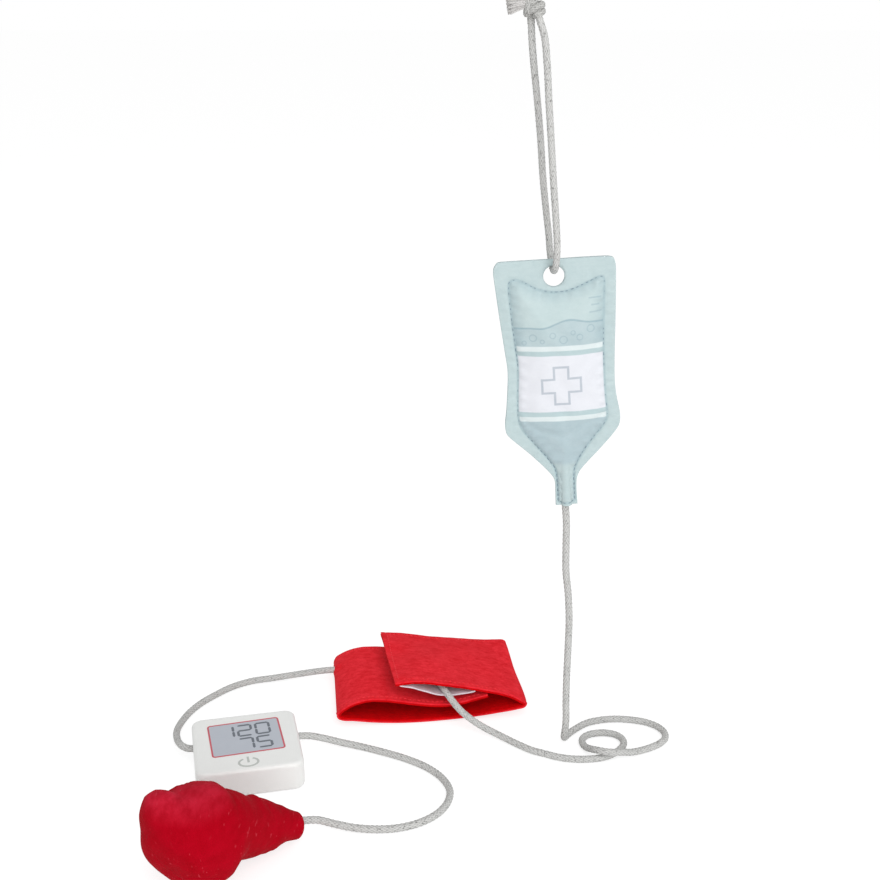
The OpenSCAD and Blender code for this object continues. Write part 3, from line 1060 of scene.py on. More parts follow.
@dataclass
class Cords:
    """The free cords, each on the route where it hangs or lies."""

    braid: Braid = field(default_factory=Braid)
    loaded: Braid = field(default_factory=lambda: Braid(4.15))
    yarn: Yarn = Yarn("#cdcdcb", "#858583")
    loop: Points = (
        (87, 29.5, 476), (90, 28, 467), (92, 27, 452), (93.5, 26, 432),
        (95.5, 25, 408), (97.5, 24, 384), (99.5, 23, 362), (100.5, 22.6, 349),
        (100.6, 22.8, 340.6), (100.3, 25.2, 333.8), (99.9, 29.2, 330.9),
        (99.7, 32.6, 330.4), (99.5, 36, 330.9), (98.9, 40, 333.8),
        (98, 42.4, 340.6), (97.2, 42.6, 349), (95.4, 42, 362), (92.6, 41, 384),
        (90.4, 40, 408), (87.6, 38.5, 432), (85, 37, 452), (83.5, 36, 467),
        (83, 35.5, 476))
    line: Points = (
        (110.8, 32.6, 189.8), (111.8, 32.6, 177.4), (112.9, 32.6, 166),
        (113.3, 32.5, 148), (113.8, 32.2, 130), (115.8, 31.8, 113), (116.9, 31.2, 96),
        (116.8, 30, 72), (116.4, 28.2, 48), (116.5, 26.8, 32), (116.8, 26, 22),
        (116.5, 25.8, 14.4), (116.1, 27.2, 8.2), (116.7, 30.7, 4.2), (118.6, 35.4, 2.6),
        (121.8, 39.8, 2.5), (126.6, 45, 2.5), (134, 51.4, 2.5), (144, 55.5, 2.5),
        (156, 57, 2.5), (167, 55.7, 2.5), (177.4, 52, 2.5), (184.2, 46, 2.5),
        (187.2, 38.8, 2.5), (186.3, 32, 2.5), (182.2, 26.3, 2.5), (175, 21, 2.5),
        (166.6, 16.6, 2.7), (159.4, 12.2, 4.4), (152.8, 7.9, 7.2), (146.7, 5.9, 8.5),
        (141.6, 6.3, 8.8), (137.2, 9.5, 7.8), (133.4, 15.1, 5.2), (130.4, 20.6, 3.1),
        (128.8, 26, 2.5), (129.1, 30.8, 2.5), (131.6, 34.8, 2.5), (135.6, 37.5, 2.5),
        (140.6, 38.9, 2.5), (146, 39.1, 2.5), (151.4, 37.5, 2.5), (155.4, 34, 2.5),
        (157.2, 29, 2.5), (156.4, 23.6, 2.5), (153.2, 18.4, 2.5), (148.6, 13.6, 2.5),
        (142.4, 9.7, 2.5), (135, 7.5, 2.5), (126.6, 6.8, 2.5), (118.4, 7.4, 2.5),
        (110, 9.6, 2.5), (102, 13.4, 2.5))
    tail: Points = (
        (102, 13.4, 2.5), (94, 17.2, 2.5), (86.4, 22.8, 2.6), (79.2, 28.8, 2.9),
        (70.6, 35.2, 3.9), (61.8, 40.2, 6), (53.2, 44.6, 9.6), (45.2, 49.2, 14.4),
        (39, 54.4, 19.9), (34.8, 60, 23.3), (32, 67, 24), (30.6, 75, 24), (30, 83, 24),
        (29.6, 91, 24))
    cuff: Points = (
        (-45.9, 112.7, 10.3), (-54.2, 112, 10.1), (-64, 112.8, 8.3), (-76, 114.4, 5.4),
        (-94, 113, 3), (-109, 109.5, 2.5), (-122, 101.6, 2.5), (-132.6, 90.4, 2.5),
        (-141.6, 78.4, 2.5), (-147.6, 66.4, 2.5), (-151, 53, 2.9), (-151.8, 43, 4),
        (-151, 34, 5.6), (-148.9, 25, 7.4), (-146, 17, 9), (-142.2, 11, 9.9),
        (-137.9, 8.2, 10), (-134.7, 8.1, 10), (-120.5, 11.2, 10))
    bulb: Points = (
        (-81, 20, 10), (-66.3, 23.3, 10), (-58, 24.8, 9.2), (-48, 26, 6.4),
        (-37, 25.6, 3.6), (-24, 22.4, 2.5), (-9, 16, 2.5), (8, 7.4, 2.5),
        (22.5, -3, 2.5), (32.6, -15.4, 2.5), (37.4, -29, 2.5),
        (36, -41, 2.5), (30.4, -52, 2.5), (20, -61.6, 2.5),
        (6.4, -67.6, 2.5), (-9, -69.2, 2.5), (-22, -68.6, 3.2),
        (-34, -67, 4.8), (-45, -65.4, 6.6), (-54, -69.3, 8.9),
        (-63.2, -76, 12.4))

    def build(self, knot: "Knot") -> None:
        """Makes the cords, and the knot with its two ends.

        Args:
            knot: The knot that ties the loop and is made with it.
        """
        finish = self.yarn.material("grey_cord")
        for name, route, node, start, bent in (
                ("cord_loop", self.loop, "hanging_loop", (1, 0, 0), None),
                ("cord_line", self.line, "iv_line", (0, 1, 0), (10, 2, Body.BAG)),
                ("cord_line_end", self.tail, "iv_line_tail", (0, 0, 1), (3, 8, Body.FLAP)),
                ("cord_to_cuff", self.cuff, "cuff_cord", (0, 0, 1), None),
                ("cord_to_bulb", self.bulb, "bulb_cord", (0, 0, 1), None)):
            braid = self.loaded if name == "cord_loop" else self.braid
            path = smooth_line(route, braid.ring)
            piece = add_piece(name, braid.surface(path, start), finish, "grey_cord", node,
                              None if bent else Body.SET)
            if bent:
                low, high = (np.array(route[i]) * MM for i in bent[:2])
                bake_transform(piece)
        on_loop = knot.build(self)


@dataclass
class Knot:
    """The knot that ties the loop, and the loop's two cut ends."""

    at: Spot = (83.4, 32.6, 484.2)
    lean: float = -15.0
    wrap: float = 4.1
    wrap_turns: float = 2.15
    wrap_tall: float = 7.6
    wrap_low: float = 3.4
    band: float = 3.2
    core: float = 9.0
    yarns: int = 110
    end_length: float = 11.6
    ends: Points = ((-76, 2.6), (-102, -2.6))
    feet: tuple[Points, ...] = (
        ((82.9, 35.8, 472), (82.8, 35.5, 476), (82.6, 34.8, 480), (83.2, 33.6, 485)),
        ((88.3, 29.2, 472), (87.1, 29.6, 476), (85.4, 30.4, 480), (84.0, 31.6, 485)))

    def turns(self) -> list[Array]:
        """The cord's turns in the knot.

        Returns:
            Three lines: one that winds level round the others, a little over
            twice, one that passes over it on the left, and a short core.
        """
        t = np.linspace(0, 1, 90)[:, None]
        angle = 2 * math.pi * (self.wrap_turns * t - 0.35)
        grow = np.sin(t * math.pi) ** 0.25
        level = np.hstack([0.8 + self.wrap * grow * np.cos(angle),
                           self.wrap * grow * np.sin(angle),
                           (t - 0.5) * self.wrap_tall - self.wrap_low])
        t = np.linspace(0, 1, 60)[:, None]
        angle = 2 * math.pi * (0.95 * t + 0.1)
        over = np.hstack([-2.9 + 1.7 * np.cos(angle), -0.2 + self.band * np.sin(angle),
                          -0.5 + 4.6 * np.cos(angle)])
        core = np.hstack([0 * t, 0 * t, (t - 0.5) * self.core])
        return [level, over, core]

    def fringe(self, seed: np.random.Generator, way: float, beside: float) -> Shape:
        """One cut end: loose yarns that start in the cord and spread to a fan.

        Each yarn starts at a random place in the cord's round section. Along
        its length it leaves that place as the square of the distance, most in
        the fan's own plane.

        Args:
            seed: The source of the random draws.
            way: How far the end leans, in degrees.
            beside: Its distance behind the knot's middle.

        Returns:
            All its yarns as one surface.
        """
        n, rings, sides = self.yarns, 9, 5
        angle, reach = seed.uniform(0, 2 * math.pi, n), np.sqrt(seed.uniform(0, 1, n))
        foot = np.stack([np.cos(angle), 0.8 * np.sin(angle)], axis=-1) * reach[:, None] * 2.0
        long = self.end_length * seed.uniform(0.86, 1.04, n)
        t = np.linspace(0, 1, rings)
        drift = seed.normal(0, 0.22, (n, 1, 2)) * (t**2)[:, None]
        open_out = 1 + np.array([0.95, 0.15]) * (t**1.4)[:, None]
        across = foot[:, None] * open_out[None] + drift
        up = long[:, None] * t
        line = np.concatenate([across, up[..., None]], axis=-1)
        out = threads(line, 0.42 * (1 - 0.3 * t**3), (1, 0, 0), (0, 1, 0), sides)
        ridge = seed.uniform(0.4, 0.9, (n, 1)) * np.ones((1, (rings + 2) * sides))
        out.values["relief"] = ridge.ravel()
        lifted = out.points + np.array([0, beside, 3.0])
        return Shape(lifted @ turn(1, way).T + np.array(self.at), out.faces, out.values)

    def build(self, cords: Cords) -> list[bpy.types.Object]:
        """Makes the knot and the two ends.

        Args:
            cords: The cords, for their braid.

        Returns:
            The two pieces, which go with the loop.
        """
        seed = np.random.default_rng(7)
        # Painted shade: the knot's yarn is darker than the cords', as the knot lies in shade.
        finish = Yarn("#c0c0bd", "#757573").material("grey_knot_shaded")
        braid = cords.loaded
        wraps = [braid.surface(evenly(line, braid.ring), (0.3, 0.2, 1)).placed(
            turn(1, self.lean), self.at) for line in self.turns()]
        wraps += [braid.surface(smooth_line(foot, braid.ring), (1, 0, 0))
                  for foot in self.feet]
        piece = add_piece("knot", joined(wraps), finish, "grey_cord", "hanging_knot",
                          Body.SET)
        loose = Yarn("#cac8c6", "#a5a2a0", 0.8).material("grey_fringe")
        ends = joined([self.fringe(seed, *end) for end in self.ends])
        return [piece, add_piece("cut_ends", ends, loose, "grey_cord", "frayed_ends",
                                 Body.SET)]


# ----------------------------------------------------------------- stitches


@dataclass
class Thread:
    """Sewing thread: a row of short stitches along a line on cloth."""

    length: float = 2.4
    gap: float = 0.9
    width: float = 0.56
    lift: float = 0.3
    shade: float = 0.5

    def stitches(self, line: Array, normals: Array) -> Shape:
        """A row of stitches along a line.

        Each is a thread that comes up, runs along the cloth in a flat arc,
        sin(pi t)^0.6, and goes down again.

        Args:
            line: The seam on the cloth.
            normals: The cloth's outward direction at each of its points.

        Returns:
            All the stitches as one surface.
        """
        arc = arc_of(line)
        pitch = self.length + self.gap
        starts = np.arange(0.3 * pitch, arc[-1] - self.length, pitch)
        t = np.linspace(0, 1, 7)
        at = starts[:, None] + self.length * t
        middle = between(at, arc, line)
        up = unit(between(at, arc, normals))
        heading = unit(middle[:, -1:] - middle[:, :1])
        side = unit(np.cross(heading, up))
        rise = (self.lift * np.sin(math.pi * t) ** 0.6 - 0.12)[None, :, None]
        thin = self.width / 2 * (0.45 + 0.55 * np.sin(math.pi * t) ** 0.5)
        shape = threads(middle + up * rise, thin, side, up, 6)
        shape.values["relief"] = np.full(len(shape.points), self.shade)
        return shape


# ----------------------------------------------------------------- drip bag


PALE_FELT = Felt("#bccbcc", "#acbec0", 0.8, 0.14, 11, contrast=0.6)
WADDING = Felt("#f4f3f0", "#dcdad4", 1.6, 0.3, 5)


@dataclass
class DripBag:
    """Two printed felt panels sewn round a filling, with a punched hole."""

    hole_at: Spot = (100.0, 32.6, 327.0)
    lean: float = 4.5
    hole: float = 6.5
    felt: float = 1.5
    puff: float = 5.5
    channel: float = 3.4
    channel_top: float = -116.0
    top: float = 10.4
    top_slope: float = 0.02
    drop: float = 150.0
    flat: Pair = (0.075, 0.161)
    flat_area: float = 0.0089
    step: float = 1.15
    left: Points = ((-30.5, 10.4), (-34.5, 10.2), (-36.9, 6.5), (-36.2, -3), (-34.6, -24),
                    (-32.4, -48), (-31.4, -58), (-32.2, -68), (-34, -84),
                    (-35.5, -92), (-35.3, -97.4), (-33.8, -100.8), (-20, -114.4), (-7.6, -128.5),
                    (-5.6, -134), (-5.9, -142), (-6.1, -150))
    right: Points = ((31, 10.4), (35.4, 10.2), (37.8, 6.3), (37.4, -6), (36.4, -28),
                     (35.1, -50), (34.5, -70), (35.6, -81), (37.4, -90),
                     (37.1, -96.6), (35.3, -100.6), (28, -109), (12.5, -124.4), (8.8, -129.5),
                     (7.6, -136), (7.9, -150))
    seam: Points = ((-24.5, 0.2), (-18, -2.6), (-10.5, -7.6), (-2, -9.9), (7, -10),
                    (14.5, -7.6), (22, -4.4), (30.2, -1.2), (30.4, -7), (29.2, -26),
                    (28.2, -48), (28.2, -76), (29.4, -90), (28, -96), (18.2, -107),
                    (8, -121.5), (6.2, -128), (6.1, -146.6), (6, -147.7), (5, -147.8),
                    (-3.3, -147.8), (-4.3, -147.7), (-4.4, -146.6), (-4.2, -128),
                    (-6.4, -121.5), (-20, -103.5), (-26.8, -94),
                    (-26.6, -78), (-24.8, -56), (-25.6, -45), (-26.8, -30),
                    (-27.7, -10), (-28, -2))
    face: BagPrint = BagPrint(PALE_FELT)
    plain: Felt = PALE_FELT
    thread: Thread = field(default_factory=Thread)

    def __post_init__(self) -> None:
        """Rounds the outline and the seam."""
        self.edges = [rounded(side, 2) for side in (self.left, self.right)]
        self.seam_line = evenly(rounded(self.seam, 2, True), 1.5)
        self.matrix = turn(1, -self.lean)

    def placed(self, shape: Shape) -> Shape:
        """A surface drawn round the hole's centre, in its hanging place."""
        return shape.placed(self.matrix, self.hole_at)

    def side_at(self, side: int, z: Array) -> Array:
        """Where the left (0) or right (1) edge is at a height."""
        edge = self.edges[side]
        return np.interp(-z, -edge[:, 1], edge[:, 0])

    def grid(self) -> tuple[Array, Array, Array]:
        """The panel's points in its plane.

        Rows run down and columns across. Near the hole the lines are straight
        and even, and the square block of cells round it is drawn in to a
        circle.

        Returns:
            Both coordinates of the points, and which cells the hole leaves.
        """
        cell = self.hole / 6
        block = 8 * cell
        upper = np.array([0, 0.04, 0.16, 0.4, 0.75, 1]) * (self.top - block)
        near = np.arange(8, -9, -1) * cell
        low = -block - spaced(self.drop - block, self.step, 0.6, start=False)[1:]
        z = np.concatenate([self.top - upper[:-1], near, low])
        left, right = self.side_at(0, z), self.side_at(1, z)
        middle = (left + right) / 2 * smoothstep(-z, 20, 60)
        half = (right - left) / 2
        inner = np.minimum(block, 0.32 * half)
        out = spaced(27.0, self.step, 0.6, end=False) / 27.0
        a = left[:, None] + (middle - inner - left)[:, None] * out
        b = (middle - inner)[:, None] + 2 * inner[:, None] * np.linspace(0, 1, 17)
        c = right[:, None] + (middle + inner - right)[:, None] * out[::-1]
        x = np.hstack([a[:, :-1], b, c[:, 1:]])
        z = z[:, None] * np.ones_like(x)
        slope = self.top_slope * x * smoothstep(z, block, self.top)
        x, z, keep = punched(x, z, self.hole, block)
        return x, z - slope, keep

    def relief(self, x: Array, z: Array) -> dict[str, Array]:
        """What the cloth does at places in its plane.

        Args:
            x: Distance across from the hole's centre.
            z: Height above it.

        Returns:
            inside: distance within the seam. swell: how far the inner face is
            from the middle plane. wave: how far both panels bend together.
            thick: the felt's thickness.
        """
        at = np.stack([x.ravel(), z.ravel()], axis=-1)
        gap, arc = to_outline(at, self.seam_line)
        gap, arc = gap.reshape(x.shape), arc.reshape(x.shape)
        t = np.clip(gap / 25.0, 0, 1)
        swell = self.puff * (1 - (1 - t) ** 2) ** 0.75
        gather = np.sin(arc / 1.05 + 1.8 * np.sin(arc / 11.0)) + 0.5 * np.sin(arc / 2.6 + 1)
        swell = swell + 0.55 * gather * bell(gap - 2.0, 2.8) * (gap > 0)
        crumple = np.sin(x / 3.4 + 1.3 * np.sin(z / 6.1)) * np.sin(
            z / 4.7 + 0.8 * np.sin(x / 5.3))
        swell = swell + 0.5 * crumple * smoothstep(gap, 2, 8)
        crease = (z + 16 + 0.28 * x) + 2.4 * np.sin(x / 9)
        swell = swell - 0.8 * bell(crease, 1.6) * smoothstep(gap, 3, 9) * bell(x + 4, 16)
        crease = (z + 103 - 0.5 * np.abs(x + 1)) + np.sin(x / 3)
        swell = swell - 0.7 * bell(crease, 2.0) * smoothstep(gap, 1, 5)
        neck = smoothstep(-z, -self.channel_top - 3, -self.channel_top + 3)
        tube = np.sqrt(np.clip(self.channel**2 - (x - 0.9) ** 2, 0, None)) * neck
        clear = smoothstep(np.hypot(x, z), self.hole + 2, 26) * (1 - neck)
        wave = clear * (0.7 * np.sin(0.062 * x + 1.1) * np.sin(0.05 * z + 0.4)
                        + 0.25 * gather * bell(gap + 2.5, 3.0))
        wave = wave + clear * 0.8 * np.sin(arc / 17.0) * smoothstep(-gap, 1, 8)
        thick = self.felt * (1 - 0.5 * bell(gap, 0.8)) + 0.1 * np.sin(arc / 5) * bell(gap + 4, 3)
        return {"inside": gap, "swell": np.maximum(np.maximum(swell, tube), 0.04),
                "wave": wave, "thick": thick}

    def face_at(self, line: Array, side: int) -> tuple[Array, Array]:
        """Points and outward directions on a panel's outer face.

        Args:
            line: Places in the bag's plane, two numbers each.
            side: -1 for the front panel and 1 for the back one.

        Returns:
            The points and the directions, three numbers each.
        """
        def spot(x: Array, z: Array) -> Array:
            """The outer face at places in the plane."""
            r = self.relief(x, z)
            return np.stack([x, r["wave"] + side * (r["swell"] + r["thick"]), z], axis=-1)

        x, z = line.T
        here = spot(x, z)
        normal = unit(np.cross(spot(x, z + 0.2) - here, spot(x + 0.2, z) - here)) * side * -1
        return here, np.where(normal[:, 1:2] * side > 0, normal, -normal)

    def panel(self, name: str, side: int, finish: bpy.types.Material) -> None:
        """Makes one panel.

        Args:
            name: The piece's name.
            side: -1 for the front panel and 1 for the back one.
            finish: Its material.
        """
        x, z, keep = self.grid()
        r = self.relief(x, z)
        edge = np.minimum(np.minimum(x - self.side_at(0, z), self.side_at(1, z) - x),
                          np.minimum(self.top - z, z + self.drop))
        edge = np.minimum(edge, np.hypot(x, z) - self.hole)
        share = rim_share(np.clip(edge, 0, 5), 10.0, 0.5, end=False)
        inner = r["wave"] + side * r["swell"]
        middle = inner + side * r["thick"] / 2
        skins = [np.stack([x, middle + side * k * share * r["thick"] / 2, z], axis=-1)
                 for k in (1, -1)]
        shape = slab(*skins, keep)
        shape.values["inside"] = np.tile(r["inside"].ravel(), 2)
        at = np.stack([x.ravel(), z.ravel()], axis=-1)
        shape.uv = np.tile((at - BagPrint.UV_SHIFT) / BagPrint.UV_SCALE, (2, 1))
        piece = add_piece(name, self.placed(shape), finish, "bag_felt",
                          name.replace("felt", "panel"), Body.BAG)

    def wadding(self) -> None:
        """Makes the filling, a lumpy lens that keeps inside the seam."""
        v, u = np.linspace(0, 1, 60)[:, None], np.linspace(-1, 1, 40)[None, :]
        top, low = -13.0, -113.0
        z = top + (low - top) * v + 0 * u
        left = np.interp(-z, (3, 60, 93, 118), (-25, -22, -24, -4.5))
        right = np.interp(-z, (3, 60, 93, 118), (27, 25, 26.5, 5.5))
        x = (left + right) / 2 + (right - left) / 2 * u
        r = self.relief(x, z)
        lumps = 0.25 * np.sin(x / 3.1 + z / 4.3) * np.sin(z / 3.7 - x / 5.9)
        fat = np.maximum(r["swell"] - 0.5 + lumps * smoothstep(r["swell"], 1, 3), 0.08)
        fat = np.minimum(fat, r["swell"] * 0.93)
        fat = fat * rim_share(v * 100 + 0 * u, 100, 3) * rim_share((u + 1) * 25 + 0 * v, 50, 3)
        skins = [np.stack([x, r["wave"] + k * fat, z], axis=-1) for k in (-1, 1)]
        finish = WADDING.material("bag_wadding")
        piece = add_piece("bag_wadding", self.placed(slab(*skins)), finish, "wadding",
                          "bag_filling", Body.BAG)

    def build(self) -> None:
        """Makes the panels, their stitches and the filling."""
        self.panel("bag_front_felt", -1, self.face.material("bag_print"))
        self.panel("bag_back_felt", 1, self.plain.material("bag_back"))
        finish = Yarn("#8b9ba6", "#62737f", 0.6).material("bag_thread")
        seam = evenly(np.vstack([self.seam_line, self.seam_line[:1]]), 0.8)
        for name, side in (("bag_front_stitches", -1), ("bag_back_stitches", 1)):
            shape = self.thread.stitches(*self.face_at(seam, side))
            add_piece(name, self.placed(shape), finish, "bag_felt", body=Body.BAG)
        self.wadding()


# --------------------------------------------------------------------- cuff


@dataclass
class Cuff:
    """A strip of two felts, folded round on itself, with its flap on top.

    A place on the strip is s, along it from the flap's free end, and w, back
    from its front edge. The side view is drawn once for the front edge and
    once for the back edge, as u to the right and height, and the strip is
    straight between the two.
    """

    at: Spot = (13.5, 55.5, 0.0)
    yaw: float = 6.0
    width: float = 80.0
    felt: float = 1.3
    step: float = 1.3
    rim: float = 0.6
    hem: float = 3.6
    front: Points = ((-14.0, 32.4), (-8.4, 33.1), (0.5, 33.9), (10.5, 33.4), (19.9, 31.6),
                     (29.4, 29.2), (43.6, 25.7), (53.1, 23.2), (62, 20.7), (69.5, 17.6),
                     (75.6, 13.9), (80.0, 10.4), (78.7, 7.8), (73, 6.2), (60, 4.3),
                     (48, 2.8), (34.3, 1.6), (20, 0.8), (5.7, 0.35), (-13, 0.7),
                     (-32, 2.4), (-44, 4.2), (-51, 5.0), (-54.5, 6.8), (-55.3, 9.6),
                     (-53.6, 12.5), (-48, 16.6), (-41.1, 19.7), (-32.6, 21.5),
                     (-22, 21.0), (-9, 18.7), (5.8, 15.9), (20, 13.8), (29.4, 14.3),
                     (38.9, 16.6), (45.5, 18.8), (51.4, 20.4))
    back: Points = ((-19.1, 30.9), (-11.4, 30.0), (-2, 29.0), (8, 27.5), (18, 25.8),
                    (30, 24.2), (43, 22.4), (53, 21.0), (62, 20.1), (69, 19.6),
                    (74.6, 19.0), (76.4, 16.6), (75.0, 13.8), (70, 11.0), (60, 7.6),
                    (48, 4.6), (34, 2.4), (20, 0.9), (6, 0.4), (-13, 0.3),
                    (-32, 0.4), (-44, 0.5), (-50.4, 1.2), (-54.4, 3.6), (-55.3, 7.2),
                    (-53.8, 11.2), (-49.4, 14.6), (-42.6, 17.5), (-35, 19.1),
                    (-27, 19.3), (-13, 18.4), (3, 17.2), (17, 16.2), (27, 15.8),
                    (36, 15.8), (43, 16.0), (49.5, 16.4))
    split: int = 11
    outer: Felt = Felt("#f0303c", "#d4121e", 0.75, 0.22, 8, sheen=0.02)
    lining: Felt = Felt("#da0008", "#b40004", 0.75, 0.2, 8, sheen=0.0)
    thread: Thread = field(default_factory=lambda: Thread(2.5, 0.8, 0.8, 0.3, 0.6))
    pad: Pair = (3.8, 60.8)
    pad_gap: float = 0.6
    soft_gap: float = 31.0
    soft_width: float = 44.0
    pad_width: float = 70.0
    pad_thick: float = 1.2
    pad_bow: float = 6.7
    pad_step: float = 1.2
    loop_pad: Pair = (-11.0, 46.0)
    cord_hole: Pair = (63.0, 12.0)
    hole_lift: float = 1.5
    blend_run: float = 14.0
    flap_seam_end: float = 15.0
    tuck_seam_start: float = 130.0

    def __post_init__(self) -> None:
        """Draws the side views and finds the crease, the loop pad and the hole."""
        # One line in four dimensions keeps the points of the two views in pairs.
        both = np.hstack([self.front, self.back])
        fine = smooth_line(both, 0.25 * math.sqrt(2))
        self.views = (fine[:, :2], fine[:, 2:])
        self.arc = np.arange(len(fine)) * arc_of(fine)[-1] / math.sqrt(2) / (len(fine) - 1)
        self.long = float(self.arc[-1])
        near = np.abs(fine - both[self.split]).sum(axis=1).argmin()
        self.crease = float(self.arc[near])
        # The tucked layer is past the floor layer and right of the left fold.
        middle = (fine[:, 0] + fine[:, 2]) / 2
        tucked = (middle > -40) & (self.arc > self.crease + 170)
        middle = middle[tucked]
        self.soft = [float(np.interp(u, middle, self.arc[tucked])) for u in self.loop_pad]
        # The cord enters on the left fold, at a height on its outer side.
        share = self.cord_hole[0] / self.width
        fold = self.views[0] * (1 - share) + self.views[1] * share
        left = (fold[:, 0] < -49) & (fold[:, 1] > 5)
        self.hole = float(np.interp(self.cord_hole[1], fold[left, 1], self.arc[left]))

    def ripple(self, s: Array, w: Array) -> Array:
        """Small waves of the strip, none on the floor, and the rise round its cord.

        Args:
            s: Places along the strip.
            w: Places across it.

        Returns:
            The distance outwards at each place.
        """
        high = 1 - smoothstep(s, self.crease - 6, self.crease + 8) + smoothstep(
            s, self.crease + 150, self.crease + 185)
        waves = (0.45 * np.sin(s / 7.3 + 0.7) * np.sin(w / 9.1 + 0.4)
                 + 0.35 * np.sin(s / 13 - w / 11 + 2)
                 + 0.3 * np.sin(w / 4.4 + s / 29) * bell(s, 14))
        hem = 0.24 * np.sin(s / 1.9 + 1.3 * np.sin(s / 9)) * (
            bell(w - self.hem, 2.6) + bell(self.width - self.hem - w, 2.6))
        drawn = self.hole_lift * bell(np.hypot(s - self.hole, w - self.cord_hole[0]), 4.5)
        return high * (waves + hem) + drawn

    def face(self, s: Array, w: Array, lift: Array | float = 0.0) -> Array:
        """Points of the outer face, or of a layer lifted off it.

        Args:
            s: Places along the strip.
            w: Places across it, of the same shape.
            lift: Distance from the outer face, positive outwards.

        Returns:
            The points in their place on the floor.
        """
        share = w / self.width
        here = [between(s, self.arc, view) for view in self.views]
        slope = [between(s, self.arc, np.gradient(view, axis=0)) for view in self.views]
        side = here[0] * (1 - share)[..., None] + here[1] * share[..., None]
        way = unit(slope[0] * (1 - share)[..., None] + slope[1] * share[..., None])
        out = np.stack([-way[..., 1], way[..., 0]], axis=-1)
        side = side + out * (self.ripple(s, w) + lift)[..., None]
        local = np.stack([side[..., 0], w, side[..., 1]], axis=-1)
        return local @ turn(2, self.yaw).T + np.array(self.at)

    def patch(self, low: float, high: float, near: float, wide: float, step: float,
              ends: tuple[bool, bool] = (True, True)) -> tuple[Array, Array, Array]:
        """A rectangle of the strip as a grid.

        Args:
            low: Where it starts along the strip.
            high: Where it ends.
            near: Where it starts across the strip.
            wide: Its width.
            step: Distance between the grid's lines.
            ends: Which of its two ends are free edges.

        Returns:
            Both coordinates of the grid's points, and the share of the full
            thickness that the rounded edges leave there.
        """
        s = low + spaced(high - low, step, self.rim, *ends)[:, None]
        w = near + spaced(wide, step, self.rim)[None, :]
        share = (rim_share(s - low, high - low, self.rim, *ends)
                 * rim_share(w - near, wide, self.rim))
        return *np.broadcast_arrays(s, w), share

    def layer(self, low: float, high: float, start: float, end: float,
              ends: tuple[bool, bool]) -> Shape:
        """One felt between two depths and two places along the strip.

        Args:
            low: Depth of its inner face below the strip's outer face.
            high: Depth of its outer face.
            start: Where it starts along the strip.
            end: Where it ends.
            ends: Which of its two ends are free edges.

        Returns:
            The felt as a closed surface.
        """
        s, w, share = self.patch(start, end, 0.0, self.width, self.step, ends)
        pinch = (bell(w - self.hem, 0.7) + bell(self.width - self.hem - w, 0.7)
                 + bell(s - self.hem, 0.7) + bell(self.long - self.hem - s, 0.7))
        full = (high - low) * share
        middle = (high + low) / 2 - 0.28 * np.clip(pinch, 0, 1)
        return slab(self.face(s, w, middle + full / 2), self.face(s, w, middle - full / 2))

    def seam(self, stops: Points) -> Shape:
        """Stitches on the outer face along straight runs between stops.

        Args:
            stops: Ends of the runs, each a place along the strip and one across it.

        Returns:
            All the stitches as one surface.
        """
        rows = []
        for a, b in zip(stops[:-1], stops[1:]):
            count = max(8, int(math.dist(a, b) / 0.8))
            s, w = (np.linspace(a[i], b[i], count) for i in (0, 1))
            line = self.face(s, w, -0.22)
            across = unit(self.face(s, w + 0.3) - self.face(s, w - 0.3))
            onward = unit(self.face(s + 0.3, w) - self.face(s - 0.3, w))
            rows.append(self.thread.stitches(line, unit(np.cross(onward, across))))
        return joined(rows)

    def hook_pad(self) -> Shape:
        """The pad under the flap, which hangs down in front round the line.

        Returns:
            The pad, which bows down most near its front edge.
        """
        low, high = self.pad
        s, w, share = self.patch(low, high, self.pad_gap, self.pad_width, self.pad_step)
        deep = self.pad_bow * (1 - 0.85 * smoothstep(w, 30, 62))
        t = (s - low) / (high - low)
        bow = deep * np.sin(math.pi * t**1.2) ** 0.9
        middle = -2 * self.felt - 0.1 - self.pad_thick / 2 - bow
        half = self.pad_thick / 2 * share
        return slab(self.face(s, w, middle + half), self.face(s, w, middle - half))

    def soft_pad(self) -> Shape:
        """The loop pad on the tucked end."""
        s, w, share = self.patch(*self.soft, self.soft_gap, self.soft_width, self.pad_step)
        return slab(self.face(s, w, 0.05 + 1.25 * share), self.face(s, w, 0.03 + 0 * share))

    def sew(self, name: str, body: Body, finish: bpy.types.Material, start: float,
            end: float) -> None:
        """Makes the stitches near three edges of one end of the strip.

        Args:
            name: The piece's name.
            body: The body that it rides on.
            finish: Its material.
            start: Where along the strip the two long rows begin.
            end: Where the row across lies.
        """
        near, far = self.hem, self.width - self.hem
        stops = ((start, near), (end, near), (end, far), (start, far))
        add_piece(name, self.seam(stops), finish, "red_felt", body=body)

